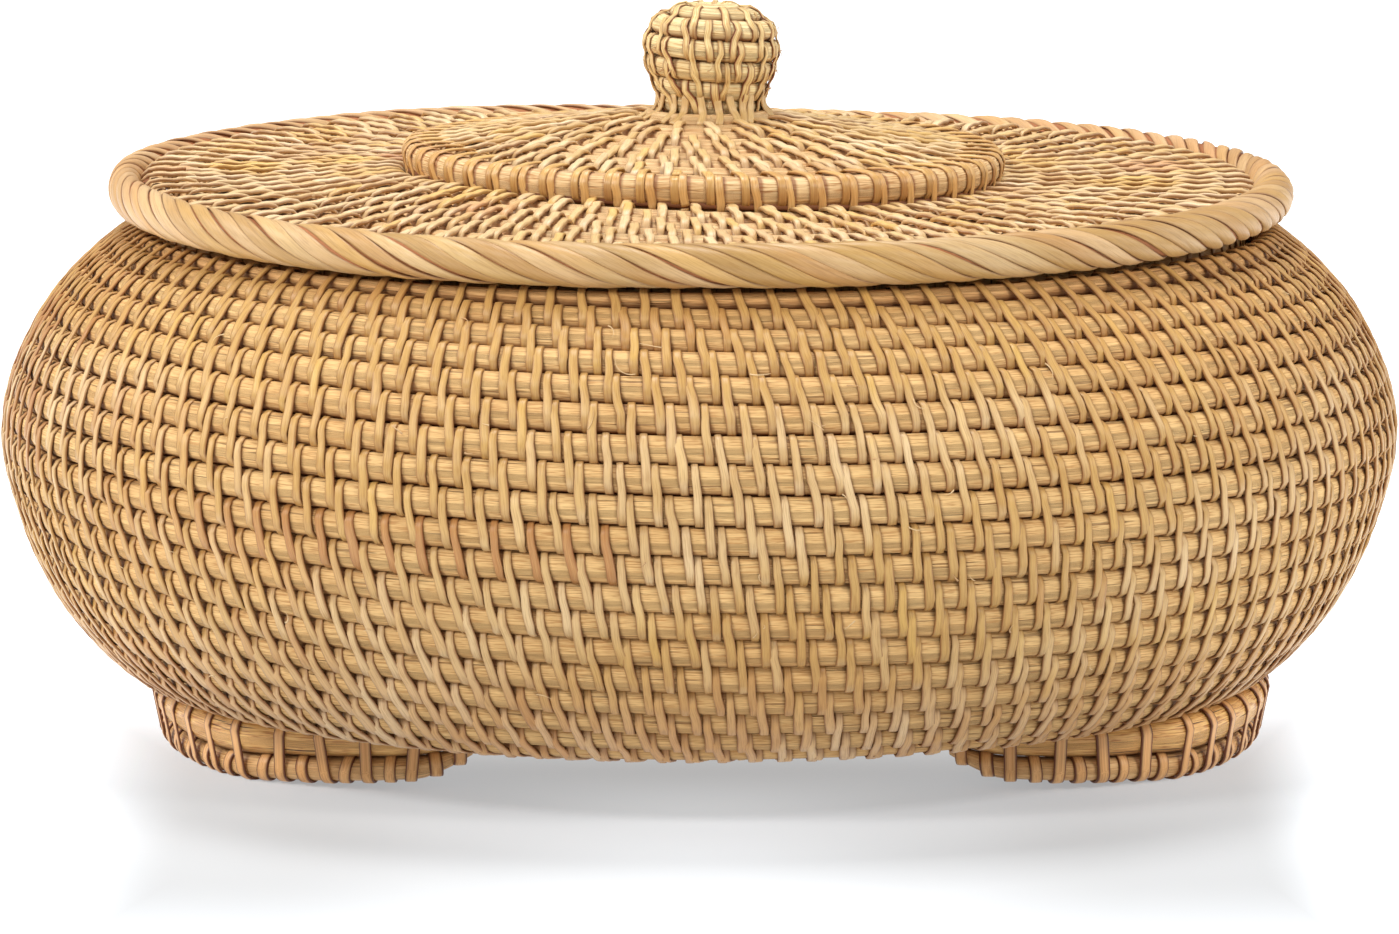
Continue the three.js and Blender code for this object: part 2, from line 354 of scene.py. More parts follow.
def beside(cross, centre, p0, p1, width, gap=0.85, coarse=240):
    """Stations for a rod between p0 and p1, set at the edges of the stitches that
    cross it, and how much painted shade (a contact shadow) to put on the rod there."""
    c = np.sort(cross)
    c = c[(c > p0 - 0.2) & (c < p1 + 0.2)]
    r = centre(c)[0]
    h = width / 2
    p = np.concatenate([c - (h + gap) / r, c - (h - 0.15) / r, c + (h - 0.15) / r, c + (h + gap) / r,
                        (c[1:] + c[:-1]) / 2, np.linspace(p0, p1, max(8, int((p1 - p0) / TAU * coarse)))])
    p = np.sort(p[(p >= p0) & (p <= p1)])
    rp = centre(p)[0]
    keep = np.concatenate([[True], np.floor(np.cumsum(np.diff(p) * rp[1:]) / 0.2)[:-1]
                           != np.floor(np.cumsum(np.diff(p) * rp[1:]) / 0.2)[1:], [True]])
    p, rp = p[keep], rp[keep]
    i = np.searchsorted(c, p).clip(1, len(c) - 1)
    after = (p - c[i - 1]) * rp - h
    before = (c[i] - p) * rp - h
    # painted contact shadow beside each stitch
    dark = np.maximum(0.80 * np.clip(1 - after / gap, 0, 1) * (p >= c[0]), np.clip(1 - before / gap, 0, 1) * (p <= c[-1]))
    return p, dark


def rod_piece(centre, radius, phi0, phi1, per_turn, sides=14, squash=SQUASH, cx=0.0,
              seed=0, out_sign=1, direction=None, snug=None, extra_shade=0.0, at=None, shear=0.0, hue=None):
    """A length of rod. It reaches radius outwards, and snug times half the
    distance to its neighbours along the surface, so that courses touch. at gives
    stations and painted shade from beside(); shear slants them like the stitches."""
    if at is None:
        n = max(8, int(abs(phi1 - phi0) / TAU * per_turn))
        phi, dark = np.linspace(phi0, phi1, n), np.zeros(n)
    else:
        phi, dark = at
        n = len(phi)
    r, z = centre(phi)
    rad = radius(phi) if callable(radius) else np.full(n, float(radius))
    if direction is None:
        r2, z2 = centre(phi + TAU)
        r3, z3 = centre(phi - TAU)
        ur, uz = r2 - r3, z2 - z3
        half = (np.hypot(r2 - r, z2 - z) + np.hypot(r3 - r, z3 - z)) / 4
    else:
        ur, uz = (np.full(n, v) for v in direction)
        half = rad
    L = np.hypot(ur, uz)
    ur, uz = ur / L, uz / L
    vr, vz = uz * out_sign, -ur * out_sign
    along_u = rad if snug is None else np.clip(half * snug, 0.6 * rad, 1.25 * rad)
    al = np.arange(sides) * TAU / sides
    c, s, k = section(al, squash)
    uneven = 1 + 0.012 * noise1(phi * 9.0, seed + 1) + 0.010 * noise1(phi * 31.0, seed + 2)
    rv = (rad * uneven)[:, None]
    ru = along_u[:, None]
    pr = r[:, None] + k * (rv * c * vr[:, None] + ru * s * ur[:, None])
    pz = z[:, None] + k * (rv * c * vz[:, None] + ru * s * uz[:, None])
    a = -(phi[:, None] + shear * k * ru * s / r[:, None])
    verts = np.stack([cx + pr * np.sin(a), -pr * np.cos(a), pz], -1).reshape(-1, 3)
    along = np.concatenate([[0], np.cumsum(np.abs(np.diff(phi)) * (r[1:] + r[:-1]) / 2)])
    along = along + phi[0] * 140
    fib = np.stack(np.broadcast_arrays(along[:, None], al[None, :] * rad[:, None],
                                       np.full((n, sides), seed % 97 * 1.7)), -1).reshape(-1, 3)
    # painted shade: the rod darkens on the side towards the course before it (the lower side on the wall), a little at
    # the opposite edge, and beside the stitches (dark, from beside()); extra_shade adds the same all over
    edge = np.where(s < 0, np.clip((-s - 0.42) / 0.56, 0, 1), 0.7 * np.clip((s - 0.80) / 0.2, 0, 1))
    painted_shade = np.maximum(edge[None, :] + extra_shade, 0.92 * dark[:, None])
    tone = np.stack(np.broadcast_arrays(
        (0.5 + 0.5 * noise1(phi * 1.3, seed + 3))[:, None], np.zeros((n, 1)), painted_shade),
        -1).reshape(-1, 3)
    attrs = {"fib": fib, "tone": tone}
    if hue is not None:
        attrs["hue"] = np.tile(np.asarray(hue, float), (len(verts), 1))
    return verts, sweep_faces(n, sides), attrs


STRIP_SHAPE = np.array([(-.5, .26), (-.46, .82), (-.26, 1.0), (.26, 1.0), (.46, .82), (.5, .26),
                        (.30, 0.0), (-.30, 0.0)])


def strip_sweep(path, outward, width, thick, twist=None, shape=STRIP_SHAPE):
    """A flat strip along path (n, 3): width and thick are per station."""
    d = np.gradient(path, axis=0)
    d /= np.linalg.norm(d, axis=1)[:, None] + 1e-12
    w = np.cross(d, outward)
    w /= np.linalg.norm(w, axis=1)[:, None] + 1e-12
    nrm = np.cross(w, d)
    if twist is not None:
        ct, st = np.cos(twist)[:, None], np.sin(twist)[:, None]
        w, nrm = w * ct + nrm * st, nrm * ct - w * st
    v = (path[:, None, :] + w[:, None, :] * (shape[None, :, 0:1] * width[:, None, None])
         + nrm[:, None, :] * (shape[None, :, 1:2] * thick[:, None, None]))
    return v


def loop_template(n_out=7, n_arc=5, n_in=3):
    """Stations of one stitch round two rods: up the outside, over the top rod,
    down the inside and under the bottom rod."""
    kind, val = [], []
    for i in range(n_out):
        kind.append(0); val.append(i / (n_out - 1))
    for i in range(1, n_arc + 1):
        kind.append(1); val.append(i / (n_arc + 1))
    for i in range(n_in):
        kind.append(2); val.append(i / (n_in - 1))
    for i in range(1, n_arc + 1):
        kind.append(3); val.append(i / (n_arc + 1))
    return np.array(kind), np.array(val)


def stitches(centre, rod_r, turn, phis, lean, width, thick, cx=0.0, up_sign=1, seed=0,
             orange=None, template=(7, 5, 3), jitter=1.0, snug=0.99, proud=0.12, bulge=0.10, hug=0.0,
             end_lean=0.05, hue=None, squash=SQUASH, taper=0.0):
    """One continuous strip wound round the rod at phi and the one a turn before.
    phis: where each stitch sits, rising. lean: mm that the top is ahead along phi.
    hug: how far the strip follows the rods' curve instead of bridging the groove."""
    K = len(phis)
    kind, val = loop_template(*template)
    M = len(kind)
    r_here, _ = centre(phis)
    ids, ph, ln, lo, hi = marks(centre, phis, lean, jitter, seed)
    nxt = np.append(ph[1:], ph[-1] + (ph[-1] - ph[-2]))
    ln_n = np.append(ln[1:], ln[-1])
    lo_n = nxt - 0.5 * ln_n / r_here
    p = np.empty((K, M))
    for m in range(M):
        k, v = kind[m], val[m]
        if k == 0:
            bow = 0.42 * jitter * (hash01(ids, 6) - 0.5) * math.sin(math.pi * v) / r_here
            p[:, m] = lo + (hi - lo) * v + bow
        elif k == 1:
            p[:, m] = hi + (lo_n - hi) * end_lean * v
        elif k == 2:
            p[:, m] = hi + (lo_n - hi) * lerp(end_lean, 1 - end_lean, v)
        else:
            p[:, m] = hi + (lo_n - hi) * lerp(1 - end_lean, 1, v)
    P = p.ravel()
    kk, vv = np.tile(kind, K), np.tile(val, K)
    idk = np.repeat(ids, M)
    r0, z0, r1, z1, ur, uz, d = frame2(centre, P, turn)
    vr, vz = uz * up_sign, -ur * up_sign
    ra = rod_r(P) if callable(rod_r) else np.full(len(P), float(rod_r))
    rb = rod_r(P - turn) if callable(rod_r) else np.full(len(P), float(rod_r))
    ha, hb = (ra, rb) if snug is None else (np.clip(d / 2 * snug, 0.6 * w, 1.25 * w) for w in (ra, rb))
    off = 0.03 + 0.12 * hash01(idk, 7) * jitter * np.sin(math.pi * vv) * (kk == 0)
    ang = np.select([kk == 1, kk == 2, kk == 3], [math.pi * vv, math.pi + 0 * vv, math.pi * (1 + vv)], 0.0)
    c, s_, k_ = section(ang, squash)
    R = np.where(kk == 3, rb, ra)
    H = np.where(kk == 3, hb, ha)
    out_v = k_ * R * c + off * c
    out_u = k_ * H * s_ + off * s_
    line = (kk == 0) | (kk == 2)
    mix = np.where(kk == 0, vv, 1 - vv)
    cr = np.where(line, lerp(r0, r1, mix), np.where(kk == 3, r0, r1))
    cz = np.where(line, lerp(z0, z1, mix), np.where(kk == 3, z0, z1))
    side = np.where(kk == 0, 1.0, -1.0)
    reach = lerp(rb, ra, mix) + off + np.where(kk == 0, bulge * np.sin(math.pi * mix), 0.0)
    dip = hug * np.exp(-((mix - 0.5) / 0.22) ** 2)
    out_v = np.where(line, side * (reach - dip), out_v)
    out_u = np.where(line, 0.0, out_u)
    nr = np.where(line, side * vr, c * vr + s_ * ur)
    nz = np.where(line, side * vz, c * vz + s_ * uz)
    pr = cr + out_v * vr + out_u * ur
    pz = cz + out_v * vz + out_u * uz
    a = -P
    path = np.stack([cx + pr * np.sin(a), -pr * np.cos(a), pz], -1)
    outw = np.stack([nr * np.sin(a), -nr * np.cos(a), nz], -1)
    arc = (kk == 1) | (kk == 3)
    gap = np.where(arc, 1.0 - 0.35 * np.sin(math.pi * vv), 1.0)
    wid = np.where(arc, 1.0 - 0.10 * np.sin(math.pi * vv), 1.0)
    wide = width(path) if callable(width) else width
    wide = wide * (1 + taper * np.where(kk == 0, 0.5 - vv, np.where(kk == 3, 0.5, -0.5)))
    W = wide * (1 + jitter * 0.24 * (hash01(idk, 8) - 0.5) + 0.05 * noise1(np.arange(len(P)) * 0.31, seed)) * wid
    T = thick * gap * (1 + 0.25 * (hash01(idk, 9) - 0.5))
    tw = jitter * (0.20 * (hash01(idk, 10) - 0.5)) * np.where(kk == 0, 1.0, 0.3)
    V = strip_sweep(path, outw, W, T, tw)
    m = V.shape[1]
    n = len(P)
    step = np.linalg.norm(np.diff(path, axis=0), axis=1)
    along = np.concatenate([[0], np.cumsum(step)])
    lat = STRIP_SHAPE[:, 0][None, :] * np.minimum(W, 2.0)[:, None]
    fib = np.stack(np.broadcast_arrays(along[:, None], lat, (idk % 977)[:, None] * 0.37), -1).reshape(-1, 3)
    shade = hash01(idk, 11) * 0.55 + 0.45 * (0.5 + 0.5 * noise1(np.arange(n) / M * 0.13, seed + 5))
    org = np.zeros(n) if orange is None else orange(P, idk)
    # painted shade: the strip darkens where it runs round and behind the rods (arcs and inside run), and a little at
    # the lower end of its outside run
    low_end = 0.30 * np.clip(1 - vv / 0.2, 0, 1)
    painted_shade = np.select([kk == 0, kk == 3, kk == 1],
                     [low_end, np.clip(0.30 + 1.5 * (1 - vv), 0, 1) * (0.75 + 0.25 * hash01(idk, 12)),
                      np.clip(vv / 0.5, 0, 1) * 0.9], 1.0)
    hu = np.zeros((n, 3)) if hue is None else hue(path, idk)
    tone = np.stack(np.broadcast_arrays(shade[:, None], org[:, None], painted_shade[:, None] + 0 * lat), -1).reshape(-1, 3)
    return V.reshape(-1, 3), sweep_faces(n, m), {"fib": fib, "tone": tone, "hue": np.repeat(hu, m, 0)}


# --------------------------------------------------------------------------
# materials
# --------------------------------------------------------------------------
class Nodes:
    def __init__(self, name):
        self.mat = bpy.data.materials.new(name)
        self.mat.use_nodes = True
        self.t = self.mat.node_tree
        self.bsdf = self.t.nodes["Principled BSDF"]

    def new(self, kind, **props):
        n = self.t.nodes.new(kind)
        for k, v in props.items():
            setattr(n, k, v)
        return n

    def link(self, a, b):
        self.t.links.new(a, b)

    def math(self, op, a, b=None, clamp=False):
        n = self.new("ShaderNodeMath", operation=op, use_clamp=clamp)
        for i, x in enumerate((a, b)):
            if x is None:
                continue
            if isinstance(x, (int, float)):
                n.inputs[i].default_value = x
            else:
                self.link(x, n.inputs[i])
        return n.outputs[0]

    def mix(self, f, a, b, mode="MIX"):
        n = self.new("ShaderNodeMix", data_type="RGBA", blend_type=mode)
        n.clamp_factor = True
        for sock, x in ((n.inputs[0], f), (n.inputs[6], a), (n.inputs[7], b)):
            if isinstance(x, (int, float)):
                sock.default_value = x
            elif isinstance(x, tuple):
                sock.default_value = (*x, 1.0)
            else:
                self.link(x, sock)
        return n.outputs[2]

    def ramp(self, f, stops):
        n = self.new("ShaderNodeValToRGB")
        els = n.color_ramp.elements
        while len(els) < len(stops):
            els.new(0.5)
        for e, (p, c) in zip(els, stops):
            e.position = p
            e.color = (*c, 1.0) if len(c) == 3 else c
        self.link(f, n.inputs[0])
        return n.outputs[0]

    def vec(self, x, y, z):
        n = self.new("ShaderNodeCombineXYZ")
        for i, v in enumerate((x, y, z)):
            if isinstance(v, (int, float)):
                n.inputs[i].default_value = v
            else:
                self.link(v, n.inputs[i])
        return n.outputs[0]

    def noise(self, vector, scale, detail=3.0, rough=0.55, distort=0.0):
        n = self.new("ShaderNodeTexNoise")
        n.inputs["Scale"].default_value = scale
        n.inputs["Detail"].default_value = detail
        n.inputs["Roughness"].default_value = rough
        n.inputs["Distortion"].default_value = distort
        self.link(vector, n.inputs["Vector"])
        return n.outputs["Fac"]

    def attr(self, name):
        n = self.new("ShaderNodeAttribute", attribute_name=name)
        s = self.new("ShaderNodeSeparateXYZ")
        self.link(n.outputs["Vector"], s.inputs[0])
        return s.outputs[0], s.outputs[1], s.outputs[2]


def cane(name, light, dark, groove, orange=(0.42, 0.17, 0.045), rough=0.46, streak=(0.05, 2.6),
         bump=0.30, crack=0.0, edge=0.0, blotch=0.35, spec=0.42, painted_shade_gain=0.85, gloss=0.0, lines=0.0,
         edge_shape=(1.0, 4.0)):
    """Cane or rod: long streaks along the piece, a tone for each stitch, and painted
    shade (a mix towards the groove colour) where it dives into a groove. Coordinates come
    with the mesh: fib is (mm along, mm across, number), tone is (tone, orange, painted shade)."""
    k = Nodes(name)
    fx, fy, fz = k.attr("fib")
    tr, tg, tb = k.attr("tone")
    sx, sy = streak
    v1 = k.vec(k.math("MULTIPLY", fx, sx), k.math("MULTIPLY", fy, sy), fz)
    n1 = k.noise(v1, 1.0, 4.0, 0.62)
    v2 = k.vec(k.math("MULTIPLY", fx, sx * 3.0), k.math("MULTIPLY", fy, sy * 2.6), fz)
    n2 = k.noise(v2, 1.0, 2.0, 0.5)
    coord = k.new("ShaderNodeTexCoord")
    n3 = k.noise(coord.outputs["Object"], 26.0, 3.0, 0.55)
    n4 = k.noise(coord.outputs["Object"], 9.0, 2.0, 0.5)
    fibre = k.math("ADD", k.math("MULTIPLY", n1, 0.65), k.math("MULTIPLY", n2, 0.35))
    f = k.ramp(fibre, [(0.30, (0, 0, 0)), (0.70, (1, 1, 1))])
    t = k.math("ADD", k.math("MULTIPLY", f, 0.52), k.math("MULTIPLY", tr, 0.48))
    t = k.math("ADD", t, k.math("MULTIPLY", k.math("SUBTRACT", n4, 0.5), blotch), clamp=True)
    col = k.mix(t, dark, light)
    warm = k.ramp(n3, [(0.46, (0, 0, 0)), (0.74, (1, 1, 1))])
    col = k.mix(k.math("MULTIPLY", warm, 0.30), col, tuple(c * m for c, m in zip(dark, (1.02, 0.86, 0.66))))
    hy, hr, hp = k.attr("hue")
    col = k.mix(hy, col, (0.76, 0.47, 0.105))
    col = k.mix(hr, col, (0.68, 0.31, 0.130))
    col = k.mix(hp, col, (0.86, 0.66, 0.40))
    org = k.math("MULTIPLY", tg, k.math("ADD", 0.55, k.math("MULTIPLY", f, 0.5)), clamp=True)
    col = k.mix(org, col, orange)
    if lines:
        v4 = k.vec(k.math("MULTIPLY", fx, 0.20), k.math("MULTIPLY", fy, 4.4), k.math("ADD", fz, 7.0))
        fine = k.noise(v4, 1.0, 2.0, 0.6)
        n6 = k.ramp(fine, [(0.38, (1, 1, 1)), (0.50, (0, 0, 0))])
        col = k.mix(k.math("MULTIPLY", n6, lines), col, tuple(c * m for c, m in zip(dark, (0.72, 0.58, 0.45))))
        n7 = k.ramp(fine, [(0.54, (0, 0, 0)), (0.66, (1, 1, 1))])
        col = k.mix(k.math("MULTIPLY", n7, lines * 0.55), col, tuple(min(c * 1.16, 0.95) for c in light))
    # painted shade: a strip's sides darken towards the groove colour, standing in for the contact shadows beside it
    if edge:
        e = k.math("POWER", k.math("MULTIPLY", k.math("ABSOLUTE", fy), edge_shape[0]), edge_shape[1])
        col = k.mix(k.math("MULTIPLY", e, edge, clamp=True), col, groove)
    # painted shade from the mesh's tone: grooves, stitch contacts and undersides darken towards the groove colour
    painted_shade = k.math("MULTIPLY", k.math("POWER", tb, 2.2), painted_shade_gain, clamp=True)
    col = k.mix(painted_shade, col, groove)
    height = fibre
    if crack:
        v3 = k.vec(k.math("MULTIPLY", fx, 0.045), k.math("MULTIPLY", fy, 1.7), k.math("ADD", fz, 31.0))
        n5 = k.noise(v3, 1.0, 1.5, 0.4)
        c = k.ramp(n5, [(0.655, (0, 0, 0)), (0.70, (1, 1, 1))])
        col = k.mix(k.math("MULTIPLY", c, crack), col, tuple(x * 0.45 for x in groove))
        height = k.math("SUBTRACT", fibre, k.math("MULTIPLY", c, 0.8))
    k.link(col, k.bsdf.inputs["Base Color"])
    ro = k.math("ADD", rough - 0.08, k.math("MULTIPLY", n1, 0.18))
    k.link(ro, k.bsdf.inputs["Roughness"])
    k.bsdf.inputs["Specular IOR Level"].default_value = spec
    if gloss:
        k.bsdf.inputs["Coat Weight"].default_value = gloss
        k.bsdf.inputs["Coat Roughness"].default_value = 0.32
    b = k.new("ShaderNodeBump")
    b.inputs["Strength"].default_value = bump
    b.inputs["Distance"].default_value = 0.0004
    k.link(height, b.inputs["Height"])
    k.link(b.outputs[0], k.bsdf.inputs["Normal"])
    return k.mat


# dark red-brown that painted shade mixes towards; the other materials give their own such colour as their groove colour
GROOVE_SHADE = (0.16, 0.046, 0.012)
M_PITH = cane("pith_rod", (0.80, 0.528, 0.228), (0.58, 0.328, 0.118), GROOVE_SHADE, rough=0.60,
              streak=(0.06, 2.4), bump=0.8, crack=0.5, spec=0.28, painted_shade_gain=1.0, lines=0.70)
M_STRIP = cane("wall_strip", (0.61, 0.376, 0.122), (0.47, 0.257, 0.070), (0.23, 0.076, 0.020), rough=0.40,
               streak=(0.05, 3.0), bump=0.3, spec=0.45, edge=0.90, painted_shade_gain=0.80, lines=0.40)
M_LID = cane("lid_strip", (0.79, 0.566, 0.262), (0.58, 0.355, 0.126), (0.19, 0.050, 0.013), rough=0.38,
             streak=(0.05, 3.0), bump=0.3, spec=0.5, edge=0.92, edge_shape=(0.99, 7.0), painted_shade_gain=0.86, lines=0.30)
M_LID_ROD = cane("lid_rod", (0.90, 0.660, 0.360), (0.68, 0.415, 0.180), (0.28, 0.105, 0.033), rough=0.58,
                 streak=(0.06, 2.4), bump=0.6, crack=0.4, spec=0.28, painted_shade_gain=1.0, lines=0.8)
M_STEP = cane("step_rod", (0.86, 0.635, 0.350), (0.68, 0.425, 0.188), (0.24, 0.070, 0.020), rough=0.52,
              streak=(0.03, 2.2), bump=0.7, crack=0.25, spec=0.3, painted_shade_gain=0.9, lines=1.0)
M_LASH = cane("step_lashing", (0.80, 0.535, 0.215), (0.62, 0.345, 0.112), (0.20, 0.05, 0.014), rough=0.36,
              streak=(0.05, 2.6), bump=0.25, spec=0.5, edge=0.8, edge_shape=(0.97, 7.0), painted_shade_gain=0.7, lines=0.5)
M_BORDER = cane("border_strip", (0.515, 0.322, 0.119), (0.375, 0.213, 0.065), (0.17, 0.050, 0.016), rough=0.42,
                streak=(0.022, 1.6), bump=0.28, spec=0.42, crack=0.12, edge=0.0, blotch=0.6, lines=0.25)
M_FOOT = cane("foot_rod", (0.92, 0.560, 0.200), (0.64, 0.315, 0.090), (0.12, 0.036, 0.012), rough=0.34,
              streak=(0.03, 1.5), bump=0.6, crack=0.9, spec=0.5, blotch=0.9, painted_shade_gain=1.0, lines=1.0)
M_FOOT_LOW = cane("foot_low_rod", (0.92, 0.575, 0.255), (0.65, 0.340, 0.128), (0.12, 0.036, 0.012), rough=0.45,
                  streak=(0.03, 1.5), bump=0.5, crack=0.6, spec=0.4, blotch=0.7, painted_shade_gain=1.0, lines=0.8)
M_FOOT_STRIP = cane("foot_strip", (0.92, 0.530, 0.225), (0.66, 0.325, 0.105), (0.15, 0.045, 0.015), rough=0.40,
                    streak=(0.05, 2.4), bump=0.3, spec=0.45, edge=0.55, lines=0.5)
M_CORE = cane("border_core", (0.48, 0.185, 0.066), (0.28, 0.095, 0.032), (0.05, 0.02, 0.008), rough=0.7, bump=0.3)
M_SHADE_FILL = cane("step_shade_filler", (0.26, 0.095, 0.032), (0.17, 0.055, 0.018), (0.08, 0.02, 0.007), rough=0.7, bump=0.3)
M_KNOB_ROD = cane("knob_rod", (0.95, 0.790, 0.450), (0.78, 0.560, 0.260), (0.20, 0.07, 0.02), rough=0.56,
                  streak=(0.035, 2.2), bump=0.8, crack=0.35, spec=0.3, painted_shade_gain=1.0, lines=0.85)
M_KNOB = cane("knob_strip", (0.92, 0.720, 0.360), (0.68, 0.450, 0.170), (0.22, 0.06, 0.018), rough=0.44,
              streak=(0.05, 3.0), bump=0.4, spec=0.4, edge=2.4, lines=0.8)
M_FIBRE = cane("loose_fibre", (0.80, 0.60, 0.34), (0.52, 0.30, 0.12), GROOVE_SHADE, rough=0.6, bump=0.1, spec=0.3)

# --------------------------------------------------------------------------
# box: base, wall and mouth
# --------------------------------------------------------------------------
PER_TURN = 120.63
WALL = [f"wall_coil_{i:02d}" for i in range(1, 19)]


def orange_wall(P, ids):
    """Runs of darker, orange strip: one long run left of the middle on course 10,
    short ones elsewhere."""
    a = -P
    course = np.round(P / TAU).astype(int) + 1
    ang = np.degrees((a + math.pi) % TAU - math.pi)
    out = np.zeros(len(P))
    run = (course == 10) & (ang > -58) & (ang < -5)
    out = np.where(run, 0.45 + 0.65 * smooth((ang + 52) / 30) * (0.8 + 0.4 * hash01(ids, 21)), out)
    key = course * 131 + np.floor((ang + 180 + 17 * course) / 14).astype(int)
    rare = hash01(key, 22)
    out = np.maximum(out, np.where(rare > 0.955, 0.55 * hash01(ids, 23), 0.0))
    edge = (course >= 11) & (course <= 15) & (ang < -66) & (ang > -95)
    out = np.maximum(out, np.where(edge & (hash01(ids, 25) > 0.4), 0.6 + 0.4 * hash01(ids, 24), 0.0))
    return np.clip(out, 0, 1)


def wall_width(path):
    """The strips are wider low down on the left."""
    a = np.degrees(np.arctan2(path[:, 0], -path[:, 1]))
    return 1.92 * (1 + 0.42 * smooth((-12.0 - a) / 18.0) * smooth((46.0 - path[:, 2]) / 16.0))


def wall_hue(path, ids):
    """Slow changes of colour over the wall: pale, pink and brown areas."""
    a = np.degrees(np.arctan2(path[:, 0], -path[:, 1]))
    z = path[:, 2]
    red = 0.30 * np.clip(noise1(a * 0.045 + z * 0.03, 601) + 0.1, 0, 1) * hash01(ids, 31)
    # the red that rises above z = 100 mm is painted warm shade under the lid's border
    red = red + 0.38 * smooth((42.0 - z) / 25.0) + 0.10 * smooth((z - 100.0) / 8.0)
    pale = 0.13 * smooth((40.0 - z) / 20.0) * hash01(ids, 34) + 0.45 * np.clip(noise1(a * 0.06 - z * 0.05, 602), 0, 1) + 0.20 * (hash01(ids, 32) > 0.8)
    pale = pale * smooth((95.0 - z) / 10.0)
    return np.stack([0.30 * (hash01(ids, 33) > 0.95), np.clip(red, 0, 1), np.clip(pale, 0, 1)], -1)


SIDES = 14
WALL_PHIS, WALL_CROSS = [], []
for k in range(19):
    p0, p1 = TAU * k - math.pi, min(TAU * k + math.pi, PHI_TOP)
    step = TAU / PER_TURN
    WALL_PHIS.append(np.arange(math.ceil(p0 / step), math.ceil(p1 / step) + 1) * step)
    lo, hi = marks(box_centre, WALL_PHIS[-1], 0.85, 1.2, 300 + k)[3:]
    WALL_CROSS += [hi, lo - TAU]
WALL_CROSS = np.concatenate(WALL_CROSS)
for k in range(19):
    p0, p1 = TAU * k - math.pi, min(TAU * k + math.pi, PHI_TOP)
    # the top two courses get a yellower, redder hue: painted warm shade under the lid's border
    v = rod_piece(box_centre, box_rod_r, p0, p1, 0, sides=SIDES, seed=100 + k, snug=0.99, squash=3.2,
                  at=beside(WALL_CROSS, box_centre, p0, p1, 1.92, 0.75), shear=0.14,
                  hue=(0.30, 0.45, 0.0) if k == 18 else (0.12, 0.12, 0.0) if k == 17 else None)
    ob = build(f"wall_rod_{k + 1:02d}", *v, M_PITH, "box", "wall_rattan")
    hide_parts(WALL[k] if k < 18 else "mouth_rim_coil")
    s = stitches(box_centre, box_rod_r, TAU, WALL_PHIS[k], 0.85, wall_width, STRIP_T + 0.06, seed=300 + k,
                 orange=orange_wall, hue=wall_hue, hug=0.16, jitter=1.2, end_lean=0.11, squash=3.2, taper=0.12)
    build(f"wall_stitch_{k + 1:02d}", *s, M_STRIP, "box", "wall_rattan")

# base: the same coil, flat, stitched more widely; seen from below and inside
for i, (k0, k1, node) in enumerate(((-18.9, -12.7, "base_centre_coil"),
                                    (-12.7, -6.35, "base_middle_coil"), (-6.35, -0.5, "base_outer_coil"))):
    p0, p1 = TAU * k0, TAU * k1
    v = rod_piece(box_centre, box_rod_r, p0, p1, 110, sides=10, seed=60 + i, snug=0.99)
    ob = build(f"base_rod_{i + 1}", *v, M_PITH, "box", "base_rattan")
    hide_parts(node)
    phis, p = [], max(p0, PHI_BASE + TAU * 1.05)
    while p < p1:
        phis.append(p)
        p += 7.4 / max(float(box_centre(p)[0]), 6.0)
    s = stitches(box_centre, box_rod_r, TAU, np.array(phis), 1.0, 1.9, STRIP_T, seed=500 + i, template=(5, 4, 2))
    build(f"base_stitch_{i + 1}", *s, M_STRIP, "box", "base_rattan")

# --------------------------------------------------------------------------
# lid
# --------------------------------------------------------------------------
def field_phis(centre, p0, p1, spacing, spread=0.0):
    out, p = [], p0
    while p < p1:
        out.append(p)
        r = float(centre(p)[0])
        p += (spacing + spread * max(r - 62.0, 0.0)) / max(r, 5.0)
    return np.array(out)


LID_TURNS = 9.7
YELLOW = [(-98.0, 8.0, 9.0, 0.9), (-78.0, 16.0, 10.0, 0.8), (-72.0, -10.0, 10.0, 0.5), (93.0, -8.0, 10.0, 0.8),
          (-50.0, -52.0, 9.0, 0.6), (70.0, 24.0, 12.0, 0.5), (-104.0, 36.0, 10.0, 0.5), (30.0, -74.0, 8.0, 0.4),
          (18.0, 60.0, 16.0, 0.4), (104.0, 12.0, 8.0, 0.5)]
RUSTY = [(-62.0, 22.0, 8.0, 0.8), (-112.0, 2.0, 5.0, 0.5), (98.0, 18.0, 9.0, 0.6), (-44.0, -66.0, 6.0, 0.6),
         (62.0, -20.0, 7.0, 0.4)]


def lid_width(path):
    """The strips lie closer together at the sides."""
    r = np.hypot(path[:, 0], path[:, 1])
    return 1.95 * (1 + 0.14 * (path[:, 0] / np.maximum(r, 1.0)) ** 2)


def lid_hue(path, ids):
    out = np.zeros((len(path), 3))
    for col, spots in ((0, YELLOW), (1, RUSTY)):
        for x, y, r, w in spots:
            d = np.hypot(path[:, 0] - x, path[:, 1] - y)
            out[:, col] = np.maximum(out[:, col], w * smooth((1.35 - d / r) / 0.7))
    out[:, 2] = 0.75 * hash01(ids, 51) ** 1.6 + 0.12 * smooth((-path[:, 0] - 40.0) / 50.0)
    out[:, 0] = np.maximum(out[:, 0], 0.5 * (hash01(ids, 52) > 0.86))
    out[:, 2] *= 1 - np.maximum(out[:, 0], out[:, 1])
    return out


def orange_lid(P, ids):
    key = np.floor(P / 0.55).astype(int)
    return np.where(hash01(key, 41) > 0.82, 0.45 * hash01(ids, 42), 0.0)

